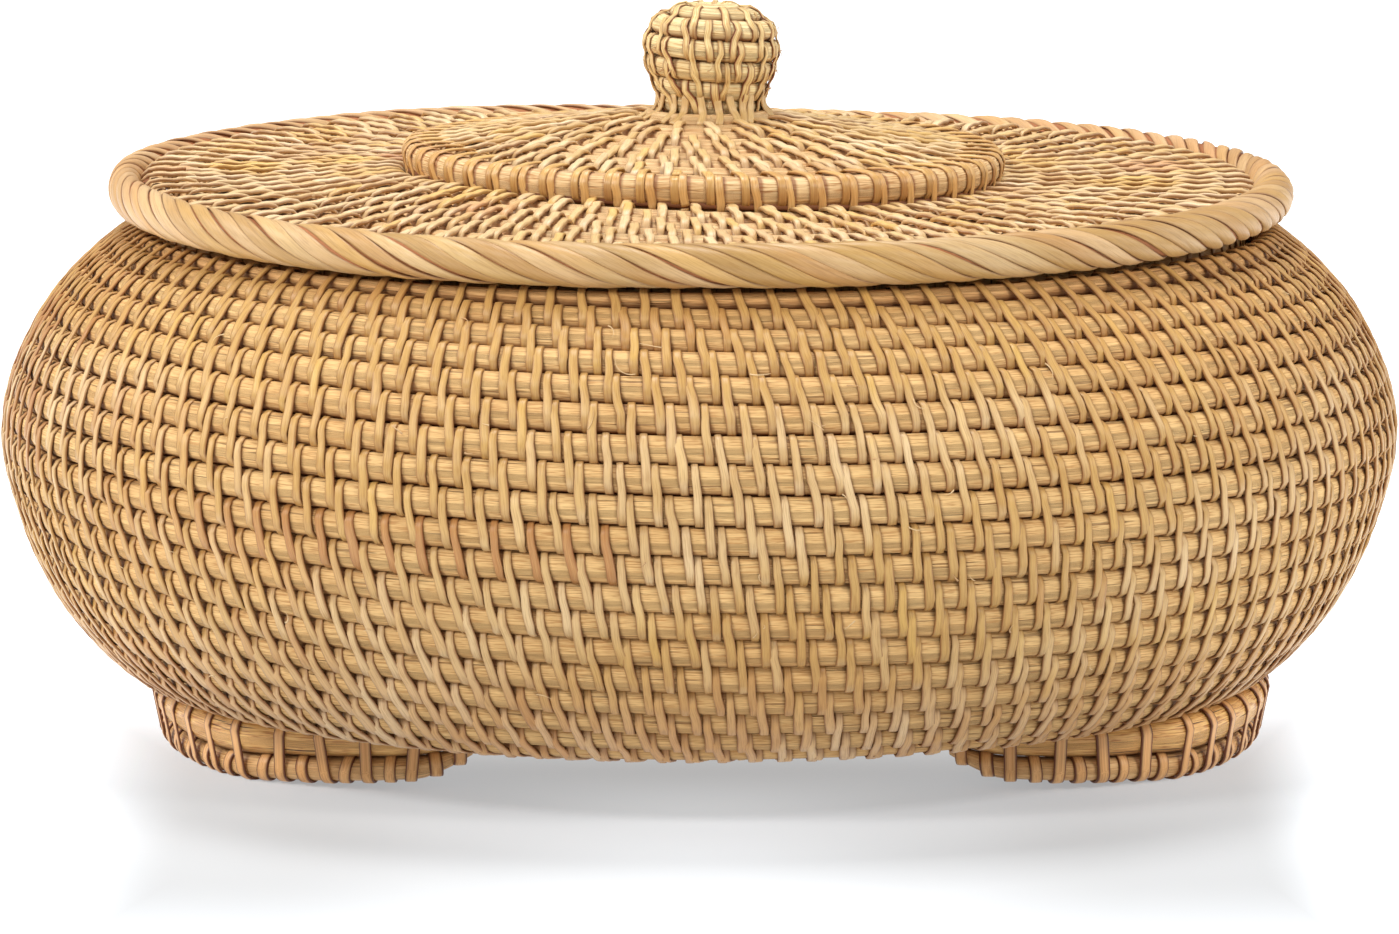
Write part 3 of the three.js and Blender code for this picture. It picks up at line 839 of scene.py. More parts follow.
edges = (0.0, 2.75, 6.0, LID_TURNS)
names = ("lid_field_outer_coil", "lid_field_middle_coil", "lid_field_inner_coil")
LID_PHIS, cross = [], []
for i in range(3):
    p0, p1 = TAU * (edges[i] - 0.5), TAU * (edges[i + 1] - 0.5)
    LID_PHIS.append(field_phis(lid_centre, max(p0, TAU * 0.5), p1, 6.9, 0.022))
    lo, hi = marks(lid_centre, LID_PHIS[i], 0.9, 1.05, 720 + i)[3:]
    cross += [hi, lo - TAU]
cross = np.concatenate(cross)
for i in range(3):
    p0, p1 = TAU * (edges[i] - 0.5 - 0.12 * (i == 0)), TAU * (edges[i + 1] - 0.5)
    v = rod_piece(lid_centre, ROD - 0.30, p0, p1, 0, sides=12, seed=700 + i, out_sign=1, squash=2.4, snug=0.96,
                  at=beside(cross, lid_centre, p0, p1, 2.0, 0.42), shear=0.15)
    ob = build(f"lid_rod_{i + 1}", *v, M_LID_ROD, "lid", "lid_rattan")
    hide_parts(names[i])
    s = stitches(lid_centre, ROD, TAU, LID_PHIS[i], 0.9, lid_width, 0.92, seed=720 + i, up_sign=1,
                 orange=orange_lid, template=(7, 5, 2), hug=0.30, snug=0.96, hue=lid_hue, jitter=1.05)
    build(f"lid_stitch_{i + 1}", *s, M_LID, "lid", "lid_rattan")

TOP_TURNS = 8.1
TOP_PHIS, cross = [], []
for k0, k1 in ((0, 4.0), (4.0, TOP_TURNS)):
    TOP_PHIS.append(field_phis(top_centre, max(TAU * (k0 - 0.5), TAU * 0.5), TAU * (k1 - 0.5), 6.3))
    lo, hi = marks(top_centre, TOP_PHIS[-1], 0.9, 1.05, 760 + len(TOP_PHIS) - 1)[3:]
    cross += [hi, lo - TAU]
cross = np.concatenate(cross)
for i, (k0, k1, node) in enumerate(((0, 4.0, "lid_top_outer_coil"), (4.0, TOP_TURNS, "lid_top_centre_coil"))):
    p0, p1 = TAU * (k0 - 0.5 - 0.12 * (i == 0)), TAU * (k1 - 0.5)
    v = rod_piece(top_centre, 2.2, p0, p1, 0, sides=12, seed=740 + i, cx=0.8, out_sign=1, squash=2.4, snug=0.96,
                  at=beside(cross, top_centre, p0, p1, 1.85, 0.42, 160), shear=0.15)
    ob = build(f"top_rod_{i + 1}", *v, M_LID_ROD, "lid", "lid_rattan")
    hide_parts(node)
    s = stitches(top_centre, 2.45, TAU, TOP_PHIS[i], 0.9, 1.85, 0.86, seed=760 + i, up_sign=1, cx=0.8,
                 orange=orange_lid, template=(7, 5, 2), hug=0.30, snug=0.96, hue=lid_hue, jitter=1.05)
    build(f"top_stitch_{i + 1}", *s, M_LID, "lid", "lid_rattan")


# rod that edges the raised centre, tied down to the field with pairs of lashings
def step_line(phi):
    phi = np.asarray(phi, float)
    return 61.3 + 0.1 * wave(-phi, 0, 31), 124.35 + 0.12 * wave(-phi, 0, 32) + ring_dz(-phi)


def step_pair(low):
    """centre(phi) is the step rod for phi > 0, and below 0 what its lashings go under."""
    def centre(phi):
        phi = np.asarray(phi, float)
        r, z = step_line(phi)
        return np.where(phi > 0, r, 62.2), np.where(phi > 0, z, low + field_dz(-phi))
    return centre


def cone_pair(phi):
    """centre(phi) is the raised centre's outer course for phi > 0, and below 0 the step rod."""
    phi = np.asarray(phi, float)
    r, z = step_line(phi)
    return np.where(phi > 0, 55.3, r), np.where(phi > 0, 125.0 + ring_dz(-phi), z)


def step_r(phi):
    return np.where(np.asarray(phi) > 0, 3.0, 1.25)


def cone_r(phi):
    return np.where(np.asarray(phi) > 0, 2.5, 3.0)


pairs = 55
base_phi = (np.arange(pairs) + 0.5) * TAU / pairs + 0.02
LASHINGS = ((cone_pair, cone_r, 0.0185, 2.05, (0.30, 0.0, 0.0)), (step_pair(120.6), step_r, -0.0185, 1.85, (0.0, 0.10, 0.0)))
cross = np.concatenate([c for i, (pair, rr, shift, wide, hu) in enumerate(LASHINGS)
                        for c in marks(pair, base_phi + shift, 0.5, 0.9, 780 + i)[3 + (i == 0) * 0:4 + (i == 1) * 1]])
cross = np.concatenate([cross - TAU, cross, cross + TAU])
v, polys, at = rod_piece(step_line, 3.0, 0.0, TAU, 0, sides=14, seed=771, cx=0.8, squash=2.7, direction=(0.0, 1.0),
                         at=beside(cross, step_line, 0.0, TAU * (1 - 1 / 360), 1.85, 0.6, 360))
polys = sweep_faces(len(v) // 14, 14, closed=True)
ob = build("step_rod", v, polys, at, M_STEP, "lid", "bare_rod")
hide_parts("lid_step_rod")
# a dark ring in the crevice under the step rod: painted shade standing in for the shadow line there
n = 360
v, polys, at = rod_piece(lambda p: (63.0 + 0.05 * wave(-p, 0, 35), 121.0 + 0.05 * wave(-p, 0, 36) + field_dz(-p)), 0.85, 0.0,
                         TAU * (1 - 1 / n), n, sides=8, seed=772, cx=0.8, squash=2.2, direction=(0.0, 1.0))
build("step_shade_filler", v, sweep_faces(len(v) // 8, 8, closed=True), at, M_SHADE_FILL, "lid", "lid_rattan")
for i, (pair, rr, shift, wide, hu) in enumerate(LASHINGS):
    s = stitches(pair, rr, 3 * TAU, base_phi + shift, 0.5, wide, 0.55, seed=780 + i, cx=0.8, up_sign=1,
                 orange=orange_lid, template=(7, 7, 3), jitter=0.9, snug=None, bulge=0.1 * (i == 0),
                 hue=lambda path, ids, hu=hu: np.tile(hu, (len(path), 1)))
    build(f"step_lashings_{i + 1}", *s, M_LASH, "lid", "lid_rattan")

# collar under the lid
for i, (z, node) in enumerate(((108.3, "lid_collar_upper_coil"), (102.5, "lid_collar_lower_coil"))):
    def line(p, z=z):
        p = np.asarray(p, float)
        return 113.9 + 0.1 * wave(-p, 0, 51 + i), z + 0.0 * p
    v, polys, at = rod_piece(line, 2.4, 0.0, TAU * (1 - 1 / 240), 240, sides=10, seed=790 + i, direction=(0.0, 1.0))
    ob = build(f"collar_rod_{i + 1}", v, sweep_faces(len(v) // 10, 10, closed=True), at, M_PITH, "lid", "lid_rattan")
    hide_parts(node)

def collar_pair(p):
    p = np.asarray(p, float)
    return np.full_like(p, 113.9), np.where(p > 0, 108.3, 102.5)

phis = (np.arange(108) + 0.5) * TAU / 108
s = stitches(collar_pair, 2.4, 3 * TAU, phis, 1.2, 1.9, 0.5, seed=795, template=(4, 4, 3))
build("collar_stitches", *s, M_STRIP, "lid", "lid_rattan")

# packing between the collar's two courses, between the collar and the field, and
# between the field and the border
_a = (np.arange(300) * TAU / 300)[:, None]
_al = (np.arange(10) * TAU / 10)[None, :]
_fz = 114.75 + warp(_a, 115.0) + tilt(_a, 115.0)
_left = np.interp((np.degrees(_a) + 180) % 360 - 180, (-170, -125, -90, -50, -10), (0, 0.7, 1, 0.6, 0))
for nm, pr, zc, hr, hz, mat in (("collar_packing", 113.9 + 0 * _a, (110.6 + _fz - 2.2) / 2, 1.6, (_fz - 112.8) / 2 + 0.5, M_LID_ROD),
                                ("collar_seam", 113.9 + 0 * _a, 105.4 + 0 * _a, 1.5, 0.95 + 0 * _a, M_LID_ROD),
                                ("border_packing", 118.6 + 0.6 * _left, _fz - 0.9, 1.95, 1.9 + 0 * _a, M_CORE)):
    pr = pr + hr * np.cos(_al)
    pz = zc + hz * np.sin(_al)
    V = np.stack([pr * np.sin(_a), -pr * np.cos(_a), pz], -1).reshape(-1, 3)
    fib = np.stack(np.broadcast_arrays(_a * 116.0, _al * 2.0, 0 * pr), -1).reshape(-1, 3)
    build(nm, V, sweep_faces(300, 10, closed=True), {"fib": fib, "tone": np.tile([0.5, 0.0, 0.15], (len(V), 1))},
          mat, "lid", "bare_rod")

# border: a rod wound like a rope with seven broad strips
RIM_R, RIM_Z, RIM_IN = 122.7, 116.1, 3.92
STARTS, TWIST = 7, 15
parts = []


def ring_noise(u, f, seed):
    """noise1 along the border that meets itself at the back."""
    return lerp(noise1(u * f, seed), noise1((u - 1) * f, seed), smooth((u - 1.42) / 0.08))


for j in range(STARTS):
    n = 1000
    u = np.arange(n) / n + 0.5                 # once round the ring, from the back
    a = u * TAU
    psi0 = -TAU * (TWIST * u + j / STARTS)
    circ, axial = TAU * 4.3 * TWIST, TAU * RIM_R
    L = math.hypot(circ, axial)
    ca, sa = axial / L, -circ / L              # direction of the strip on the tube
    band = np.floor(u * TWIST * 2 + j * 0.37).astype(int)
    deg = np.degrees((a + math.pi) % TAU - math.pi)
    at_back = smooth((-np.cos(a) - np.where(deg < 0, -0.02, 0.1)) / 0.5)
    at_left = np.exp(-((deg + 88) / 36) ** 2)
    at_right = np.exp(-((deg - 92) / 40) ** 2)
    half = (1.66 - at_back * np.where(deg < 0, 0.70, 0.36)) * (1 + 0.12 * ring_noise(u, 33, 61 + j)
                                                                + 0.07 * ring_noise(u, 23, 71 + j))
    # painted shade: each band darkens at its edges into the gaps between bands, more at the back left
    dark0 = 0.80 - 0.45 * (at_back * (deg < 0))[:, None]
    shift = 0.36 * ring_noise(u, 31, 131 + j)
    lean = 0.36 * ring_noise(u, 37, 141 + j)      # one edge of a strip stands proud of the next
    lat = np.array([-1.0, -0.95, -0.72, -0.3, 0.3, 0.72, 0.95, 1.0])
    hgt = np.array([0.00, 0.26, 0.47, 0.64, 0.64, 0.47, 0.26, 0.00])
    bot = np.array([(0.9, -0.10), (0.3, -0.02), (-0.3, -0.02), (-0.9, -0.10)])
    pl = np.concatenate([lat, bot[:, 0]])
    ph = np.concatenate([hgt, bot[:, 1]])
    la = pl[None, :] * half[:, None] + shift[:, None]
    hh = ph[None, :] + lean[:, None] * pl[None, :] + 0.12 * ring_noise(u, 40, 81 + j)[:, None]
    rad = RIM_IN + hh
    psi = psi0[:, None] + la * ca / 4.3
    ang = a[:, None] - la * sa / RIM_R
    narrow = np.interp((np.degrees(ang) + 180) % 360 - 180, (-170, -125, -90, -50, -10), (0, 0.7, 1, 0.6, 0))
    pr = RIM_R + 0.52 * narrow + rad * np.cos(psi) * (1 - 0.25 * narrow)
    pz = RIM_Z + rad * np.sin(psi) + warp(ang, 122.0)
    V = np.stack([pr * np.sin(ang), -pr * np.cos(ang), pz], -1)
    along = u * L
    fib = np.stack(np.broadcast_arrays(along[:, None], la, np.full_like(la, j * 3.1)), -1)
    pink = 0.40 * np.clip(ring_noise(u, 30, 161 + j), 0, 1) + 0.45 * at_back + 0.50 * at_left + 0.36 * at_right
    cream = 0.30 * np.clip(ring_noise(u, 26, 171 + j), 0, 1) + 0.14 * at_left + 0.04 * at_right + 0.2 * at_back
    hue = np.stack(np.broadcast_arrays((0.35 * np.clip(ring_noise(u, 22, 151 + j), 0, 1))[:, None], 0.6 * pink[:, None],
                                       cream[:, None] + 0 * la), -1)
    tone = np.stack(np.broadcast_arrays((0.5 + 0.5 * ring_noise(u, 31, 91 + j))[:, None] + 0 * la, 0 * la,
                                        np.clip((np.abs(pl[None, :]) - dark0) / (1 - dark0), 0, 1) + 0 * la), -1)
    parts.append((V.reshape(-1, 3), sweep_faces(n, len(pl), closed=True),
                  {"fib": fib.reshape(-1, 3), "tone": tone.reshape(-1, 3), "hue": hue.reshape(-1, 3)}))
ob = build("border_strips", *joined(parts), M_BORDER, "lid", "border_strip")
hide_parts("lid_border_wrap")


n, sides = 300, 16
a = (np.arange(n) * TAU / n)[:, None]
al = (np.arange(sides) * TAU / sides)[None, :]
narrow = np.interp((np.degrees(a) + 180) % 360 - 180, (-170, -125, -90, -50, -10), (0, 0.7, 1, 0.6, 0))
pr = RIM_R + 0.52 * narrow + (RIM_IN - 0.05) * (1 - 0.22 * narrow) * np.cos(al)
pz = RIM_Z + warp(a, 122.0) + (RIM_IN - 0.05) * np.sin(al)
V = np.stack([pr * np.sin(a), -pr * np.cos(a), pz], -1).reshape(-1, 3)
fib = np.stack(np.broadcast_arrays(a * RIM_R, al * 3.9, 0 * pr), -1).reshape(-1, 3)
tone = np.tile([0.6, 0.0, 0.0], (len(V), 1))
ob = build("border_core", V, sweep_faces(n, sides, closed=True), {"fib": fib, "tone": tone}, M_CORE, "lid", "bare_rod")
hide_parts("lid_border_core")

# --------------------------------------------------------------------------
# knob
# --------------------------------------------------------------------------
KNOB_Q = np.array([-1.0, 0.0, 1.0, 2.0, 3.0, 4.0, 5.0, 5.8, 6.6])
KNOB_R = np.array([9.2, 9.2, 10.3, 12.0, 12.75, 11.6, 7.6, 3.9, 0.8])
KNOB_Z = np.array([131.6, 135.6, 139.7, 143.8, 148.1, 152.2, 154.6, 155.2, 155.3])


def knob_centre(phi):
    phi = np.asarray(phi, float)
    q = phi / TAU
    return (np.interp(q, KNOB_Q, KNOB_R) + 0.12 * wave(-phi, q * 4, 77),
            np.interp(q, KNOB_Q, KNOB_Z) + 0.1 * wave(-phi, q * 4, 78))


phis = field_phis(knob_centre, TAU * 0.02, TAU * 5.75, 4.9)


def knob_lean(p):
    return 0.35 + 1.5 * np.sin(p)


lo, hi = marks(knob_centre, phis, knob_lean, 2.4, 810)[3:]
v = rod_piece(knob_centre, 1.95, -TAU * 0.95, TAU * 6.5, 72, sides=14, seed=801, cx=2.4, squash=3.3, snug=1.0,
              at=beside(np.concatenate([hi, lo - TAU]), knob_centre, -TAU * 0.95, TAU * 6.5, 1.5, 0.4, 72))
ob = build("knob_rod", *v, M_KNOB_ROD, "lid", "knob_rattan")
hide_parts("knob_coil_1", "knob_coil_2", "knob_coil_3", "knob_coil_4", "knob_coil_5", "knob_cap")
s = stitches(knob_centre, 1.95, TAU, phis, knob_lean, 1.5, 0.42, seed=810, cx=2.4,
             template=(9, 4, 2), jitter=2.4, snug=1.0, hug=0.42, bulge=0.0)
build("knob_stitches", *s, M_KNOB, "lid", "knob_rattan")

v, polys, at = rod_piece(lambda p: (np.full_like(np.asarray(p, float), 12.2), np.full_like(np.asarray(p, float), 132.6)),
                         1.9, 0.0, TAU * (1 - 1 / 90), 90, sides=12, seed=831, cx=1.9, squash=2.0,
                         direction=(-0.7, 0.7))
build("knob_foot_rod", v, sweep_faces(len(v) // 12, 12, closed=True), at, M_LID_ROD, "lid", "knob_rattan")

# strips that fan out from the knob's foot on to the raised centre
parts = []
for i in range(23):
    a0 = TAU * (i + 0.5 * float(hash01(i, 951))) / 23
    skew = 0.5 * (float(hash01(i, 952)) - 0.5)
    q = np.linspace(0, 1, 9)
    rr = np.interp(q, (0, 0.3, 0.5, 0.75, 1), (11.3, 11.4, 11.9, 13.2, 15.0))
    zz = np.interp(q, (0, 0.3, 0.5, 0.75, 1), (138.4, 136.0, 134.5, 133.6, 132.2)) + 0.3 * float(hash01(i, 953))
    rr, zz = _soft(rr, 3), _soft(zz, 3)
    aa = a0 + skew * q
    path = np.stack([2.4 - 1.6 * smooth((rr - 12) / 5) + rr * np.sin(aa), -rr * np.cos(aa), zz], -1)
    dr, dz = np.gradient(rr), np.gradient(zz)
    L = np.hypot(dr, dz)
    outw = np.stack([-dz / L * np.sin(aa), dz / L * np.cos(aa), dr / L], -1)
    w = np.full(9, 1.5 + 0.4 * float(hash01(i, 954)))
    V = strip_sweep(path, outw, w, np.full(9, 0.5))
    fib = np.stack(np.broadcast_arrays((q * 12)[:, None], STRIP_SHAPE[:, 0][None, :] * w[:, None],
                                       np.full(V.shape[:2], i * 2.3)), -1).reshape(-1, 3)
    tone = np.tile([float(hash01(i, 955)), 0.0, 0.0], (fib.shape[0], 1))
    parts.append((V.reshape(-1, 3), sweep_faces(9, 8), {"fib": fib, "tone": tone}))
build("knob_foot_strips", *joined(parts), M_LID, "lid", "knob_rattan")

# --------------------------------------------------------------------------
# feet
# --------------------------------------------------------------------------
FOOT_PATH = [(49.5, -75.5), (60, -77.2), (70, -76.6), (81.4, -73), (90, -68.2),
             (98.5, -62.2), (108, -45.8), (114.6, -25.0)]
plan = FOOT_PATH + [(117.2, 0.0)] + [(x, -y) for x, y in reversed(FOOT_PATH)]
_c = catmull(plan, 40)
_cl = np.concatenate([[0], np.cumsum(np.hypot(*np.diff(_c, axis=0).T))])


def foot_end(d):
    """1 at the very ends of a runner, 0 from 11 mm in."""
    return np.clip(1 - np.minimum(d, _cl[-1] - d) / 11.0, 0, 1)


def foot_at(d, sign):
    x = np.interp(d, _cl, _c[:, 0]) * sign + 2.4
    y = np.interp(d, _cl, _c[:, 1])
    g = np.degrees(np.arctan2(np.abs(x - 2.4), np.abs(y)))
    lift = np.clip((61 - g) / 28, 0, 1) ** 1.15
    return x, y, lift


for side, sign in (("left", -1), ("right", 1)):
    d = np.linspace(0.2, _cl[-1] - 0.2, 170)
    x, y, lift = foot_at(d, sign)
    tx, ty = np.gradient(x, d), np.gradient(y, d)
    L = np.hypot(tx, ty)
    ox, oy = ty / L * sign, -tx / L * sign            # outwards
    sd = 5 if sign > 0 else 9
    end = foot_end(d) ** 1.3
    rl = (2.8 - 0.45 * lift) * (1 - 0.5 * end)
    zl = 3.3 * lift + rl + 0.05 + 4.2 * end
    top = 13.7
    bottom = np.minimum(zl + rl + 0.1, top - 1.6)
    ru, zu = (top - bottom) / 2, (top + bottom) / 2
    inset = 1.7 * (1 - lift)
    for nm, rz, zc, rw in (("lower", rl, zl, rl), ("upper", ru, zu, (3.15 - 0.5 * lift) * (1 - 0.3 * end))):
        push = inset if nm == "lower" else 0.0 * inset
        sides = 14
        al = np.arange(sides) * TAU / sides
        wob = 1 + 0.03 * noise1(d * 0.09, sd + 20) + 0.02 * noise1(d * 0.31, sd + 21)
        V = np.stack([x[:, None] + ox[:, None] * (np.cos(al) * (rw * wob)[:, None] - push[:, None]),
                      y[:, None] + oy[:, None] * (np.cos(al) * (rw * wob)[:, None] - push[:, None]),
                      zc[:, None] + np.sin(al) * (rz * wob)[:, None]], -1)
        if nm == "lower":
            V[..., 2] = np.maximum(V[..., 2], 0.0)
        fib = np.stack(np.broadcast_arrays(d[:, None], al * 3.0, np.full((len(d), sides), sd * 1.3)), -1).reshape(-1, 3)
        # painted shade: the lower rod darkens on its upper side and the upper rod on its lower side, in the gap between
        # them
        tone = np.stack(np.broadcast_arrays((0.5 + 0.5 * noise1(d * 0.08, sd))[:, None], np.zeros((len(d), 1)),
                                            np.clip(1.5 * (np.sin(al) * (1 if nm == "lower" else -1) - 0.40),
                                                    0, 1)[None, :]), -1)
        tone = tone.reshape(-1, 3)
        ob = build(f"foot_{side}_{nm}", V.reshape(-1, 3), sweep_faces(len(d), sides), {"fib": fib, "tone": tone},
                   M_FOOT if nm == "upper" else M_FOOT_LOW, "box", "foot_rattan")
        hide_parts(f"foot_{side}_{nm}_rod")
        sd += 1

    # lashings: long ones round both rods, short ones round the lower rod
    parts = []
    total = _cl[-1]
    pos, kinds, p, q = [], [], 3.0, 0
    while p < total - 2.5:
        pos.append(p)
        kinds.append(q % 2)
        p += 4.4 + 0.9 * float(hash01(q, sd))
        q += 1
    for i, (p, kd) in enumerate(zip(pos, kinds)):
        m = 26
        t = np.arange(m) / m
        ang = TAU * t
        px, py, lf = foot_at(np.array([p]), sign)
        px, py, lf = float(px[0]), float(py[0]), float(lf[0])
        j = int(np.searchsorted(d, p).clip(1, len(d) - 2))
        o2 = np.array([ox[j], oy[j]])
        tg = np.array([tx[j], ty[j]]) / L[j]
        r_l, z_l, r_u, z_u = (float(np.interp(p, d, w)) for w in (rl, zl, ru, zu))
        if kd == 0:
            # stadium round both rods
            ct, st = np.cos(ang), np.sin(ang)
            zc = np.where(st > 0, z_u, z_l)
            rz = np.where(st > 0, r_u, r_l) + 0.05
            rw = max(r_l, 3.15 - 0.5 * lf) + 0.05
            oo = ct * rw
            zz = zc + st * rz
            lean = (hash01(i, sd + 3) - 0.5) * 3.0
            sh = lean * (zz - 6.0) / 12.0
        else:
            ct, st = np.cos(ang), np.sin(ang)
            oo = ct * (r_l + 0.05)
            zz = z_l + st * (r_l + 0.05)
            sh = (hash01(i, sd + 4) - 0.5) * 1.6 * st
        zz = np.maximum(zz, 0.02)
        oo = oo - float(np.interp(p, d, inset)) * (np.clip((z_u - zz) / (z_u - z_l), 0, 1) if kd == 0 else 1.0)
        path = np.stack([px + o2[0] * oo + tg[0] * sh, py + o2[1] * oo + tg[1] * sh, zz], -1)
        outw = np.stack([o2[0] * ct, o2[1] * ct, st], -1)
        w = np.full(m, 2.75 + 0.6 * (hash01(i, sd + 5) - 0.5))
        th = np.full(m, 0.55)
        # closed loop: gradient must wrap
        pp = np.vstack([path[-1:], path, path[:1]])
        oo2 = np.vstack([outw[-1:], outw, outw[:1]])
        V = strip_sweep(pp, oo2, np.full(m + 2, w[0]), np.full(m + 2, 0.55))[1:-1]
        V[..., 2] = np.maximum(V[..., 2], 0.0)
        lat = STRIP_SHAPE[:, 0][None, :] * w[:, None]
        fib = np.stack(np.broadcast_arrays((t * 30)[:, None], lat, np.full_like(lat, i * 1.9)), -1).reshape(-1, 3)
        # painted shade: the upper half of each lashing darkens towards the groove colour
        tone = np.stack(np.broadcast_arrays(np.full((m, 1), float(hash01(i, sd + 6))), 0 * lat,
                                            np.clip(st, 0, 1)[:, None] * 0.5), -1).reshape(-1, 3)
        parts.append((V.reshape(-1, 3), sweep_faces(m, 8, closed=True), {"fib": fib, "tone": tone}))
    build(f"foot_{side}_lashings", *joined(parts), M_FOOT_STRIP, "box", "foot_rattan")

# small loose fibres: curls and splinters of cane
def fibres(spots, seed):
    """spots: (point, outward, along) in mm; one tapering curl at each."""
    parts = []
    rng = np.random.default_rng(seed)
    for p, o, s, size in spots:
        p, o, s = (np.asarray(v, float) for v in (p, o, s))
        up = np.cross(o, s)
        m = 9
        q = np.linspace(0, 1, m)
        length = size * rng.uniform(0.7, 1.4)
        ang = rng.uniform(-1.1, 1.1) + (math.pi if rng.random() < 0.5 else 0.0)
        curl = rng.uniform(-2.4, 2.4)
        th = ang + curl * q
        step = length / (m - 1)
        along = np.cumsum(np.cos(th)) * step
        rise = np.cumsum(np.sin(th)) * step
        lift = 0.45 + rng.uniform(0.1, 0.9) * np.sin(q * math.pi * rng.uniform(0.5, 1.0)) * size / 3.0
        path = p + s * along[:, None] + up * rise[:, None] + o * lift[:, None]
        w = rng.uniform(0.20, 0.46) * (1 - 0.85 * q) + 0.03
        V = strip_sweep(path, np.tile(o, (m, 1)), w, np.full(m, 0.11) * (1 - 0.6 * q), None, FIBRE_SHAPE)
        fib = np.stack(np.broadcast_arrays((q * length)[:, None], FIBRE_SHAPE[:, 0][None, :] + 0 * V[..., 0],
                                           np.full(V.shape[:2], rng.uniform(0, 50))), -1).reshape(-1, 3)
        tone = np.tile([rng.uniform(0.2, 1.0), 0.5 * (rng.random() > 0.7), 0.0], (fib.shape[0], 1))
        parts.append((V.reshape(-1, 3), sweep_faces(m, 4), {"fib": fib, "tone": tone}))
    return joined(parts)


FIBRE_SHAPE = np.array([(-.5, .5), (0.0, 1.0), (.5, .5), (0.0, 0.0)])


def wall_spot(deg, q, size):
    """A point on the wall's surface at this angle from the front and turn number."""
    a = math.radians(deg)
    phi = TAU * q - a
    r, z = (float(v) for v in box_centre(phi))
    r0, z0 = box_centre(phi - TAU / 2)
    r1, z1 = box_centre(phi + TAU / 2)
    ur, uz = float(r1 - r0), float(z1 - z0)
    L = math.hypot(ur, uz)
    o = np.array([uz / L * math.sin(a), -uz / L * math.cos(a), -ur / L])
    s = np.array([math.cos(a), math.sin(a), 0.0])
    return np.array([r * math.sin(a), -r * math.cos(a), z]) + o * (ROD - 0.1), o, s, size


seen = [(-5, 14.4, 5), (-9, 12.4, 3), (4, 14.5, 4), (10, 12.6, 3), (-3, 15.4, 3.5), (12, 14.0, 3), (-22, 16.3, 3),
        (20, 10.5, 3), (16, 9.4, 3.5), (-36, 5.4, 3), (30, 14.4, 3), (41, 16.4, 3.5), (26, 5.5, 3), (-14, 3.4, 3)]
spots = [wall_spot(*v) for v in seen]
for i in range(110):
    spots.append(wall_spot(360 * float(hash01(i, 901)) - 180, 1.0 + 15.8 * float(hash01(i, 902)),
                           1.4 + 2.0 * float(hash01(i, 903)) ** 2))
build("wall_fibres", *fibres(spots, 905), M_FIBRE, "box", "wall_rattan")

spots = []
for i in range(46):
    a = TAU * float(hash01(i, 911))
    q = 0.1 + 4.4 * float(hash01(i, 912))
    if i < 12:                                   # frayed on the right
        a, q = math.radians(80 + 25 * float(hash01(i, 913))), (1.1, 3.1)[i % 2] + 0.5 * float(hash01(i, 914))
    r, z = (float(v) for v in knob_centre(TAU * round(q) - a))
    o = np.array([math.sin(a), -math.cos(a), 0.0])
    s = np.array([math.cos(a), math.sin(a), 0.0])
    spots.append((np.array([2.4, 0, z]) + o * (r + 1.9), o, s, 2.6 if i < 12 else 2.0))
build("knob_fibres", *fibres(spots, 915), M_FIBRE, "lid", "knob_rattan")

# the peg stays as it is, with a finish of its own
for name, mat in (("knob_peg", M_CORE),):
    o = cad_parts[name]
    o.data.materials.clear()
    o.data.materials.append(mat)

# --------------------------------------------------------------------------
# floor and light
# --------------------------------------------------------------------------
me = bpy.data.meshes.new("floor")
me.from_pydata([(-12, -12, 0), (12, -12, 0), (12, 12, 0), (-12, 12, 0)], [], [(0, 1, 2, 3)])
# the floor glows to white all round (painted light: it is no lamp), and the glow is turned down under and in front of
# the box to paint its soft shadow there
k = Nodes("floor")
xyz = k.new("ShaderNodeSeparateXYZ")
k.link(k.new("ShaderNodeTexCoord").outputs["Object"], xyz.inputs[0])
px, py = xyz.outputs[0], xyz.outputs[1]


def ease(x, lo, hi):
    n = k.new("ShaderNodeMapRange", interpolation_type="SMOOTHSTEP")
    n.inputs["From Min"].default_value = lo
    n.inputs["From Max"].default_value = hi
    k.link(x, n.inputs["Value"])
    return n.outputs["Result"]


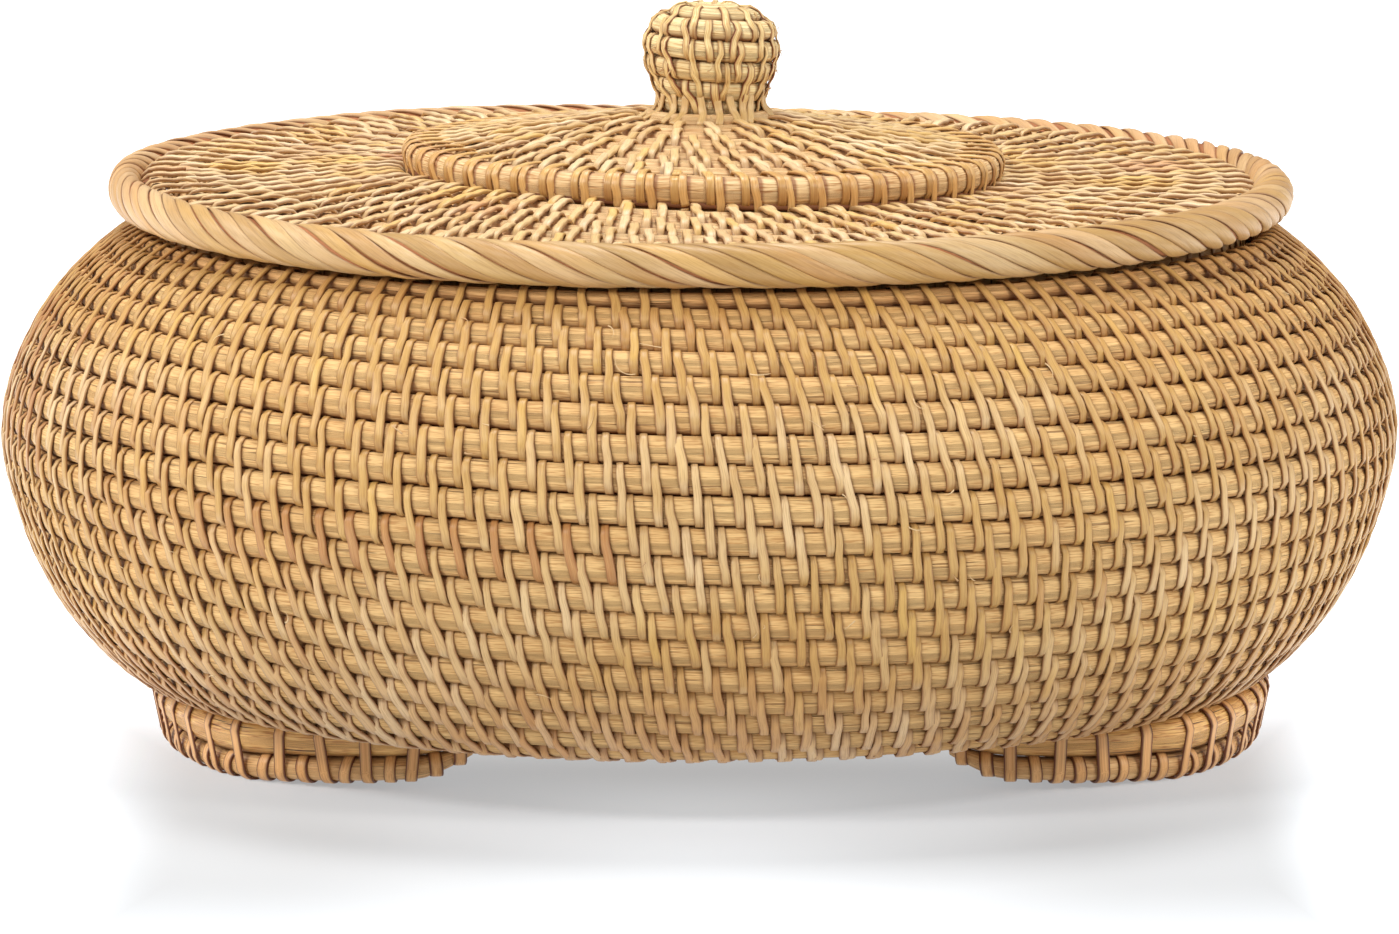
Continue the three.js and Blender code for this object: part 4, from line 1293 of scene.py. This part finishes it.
ax, front = k.math("ABSOLUTE", px), k.math("MULTIPLY", py, -1.0)
far = ease(py, -0.06, 0.06)
far = k.math("MAXIMUM", far, ease(px, 0.111, 0.142))
far = k.math("MAXIMUM", far, ease(k.math("MULTIPLY", px, -1.0), 0.103, 0.146))
far = k.math("MAXIMUM", far, ease(front, 0.17, 0.34))
painted_shadow_glow = k.math("SUBTRACT", 0.40, k.math("MULTIPLY", ease(front, 0.06, 0.19), 0.23))
mid = k.math("MULTIPLY", k.math("SUBTRACT", 1.0, ease(ax, 0.0, 0.07)), ease(front, 0.05, 0.11))
painted_shadow_glow = k.math("ADD", painted_shadow_glow, k.math("MULTIPLY", mid, 0.18))
painted_shadow_glow = k.math("SUBTRACT", painted_shadow_glow, k.math("MULTIPLY", ease(ax, 0.05, 0.085), 0.08))
glow_with_painted_shadow = k.math("ADD", painted_shadow_glow, k.math("MULTIPLY", far, k.math("SUBTRACT", 0.95, painted_shadow_glow)))
grain = k.noise(k.new("ShaderNodeTexCoord").outputs["Object"], 3.0, 2.0)
k.link(k.mix(grain, (0.455, 0.462, 0.470), (0.465, 0.472, 0.480)), k.bsdf.inputs["Base Color"])
k.bsdf.inputs["Roughness"].default_value = 0.9
k.bsdf.inputs["Specular IOR Level"].default_value = 0.1
# a bluish glow offsets the warm bounce so that the painted shadow stays grey
k.bsdf.inputs["Emission Color"].default_value = (0.925, 1.0, 1.07, 1)
k.link(glow_with_painted_shadow, k.bsdf.inputs["Emission Strength"])
me.materials.append(k.mat)
floor = bpy.data.objects.new("floor", me)
scene.collection.objects.link(floor)

world = bpy.data.worlds.new("world")
world.use_nodes = True
world.node_tree.nodes["Background"].inputs[0].default_value = (1.0, 1.0, 1.0, 1.0)
world.node_tree.nodes["Background"].inputs[1].default_value = 0.34
scene.world = world


def area(name, loc, target, size, energy, color=(1, 1, 1)):
    d = bpy.data.lights.new(name, "AREA")
    d.shape = "RECTANGLE"
    d.size, d.size_y = size
    d.energy = energy
    d.color = color
    o = bpy.data.objects.new(name, d)
    o.location = loc
    o.rotation_euler = (Vector(target) - Vector(loc)).to_track_quat("-Z", "Y").to_euler()
    scene.collection.objects.link(o)


area("left", (-1.30, -1.45, 1.45), (0, 0, 0.06), (0.5, 0.5), 24)
area("right", (1.30, -1.45, 1.45), (0, 0, 0.06), (0.5, 0.5), 17)
area("top", (-0.1, 0.45, 2.1), (0, 0, 0.1), (0.9, 0.9), 32)
area("side_left", (-1.60, 0.15, 0.85), (0, 0, 0.08), (0.8, 0.8), 13)
area("side_right", (1.60, 0.15, 0.85), (0, 0, 0.08), (0.8, 0.8), 8)
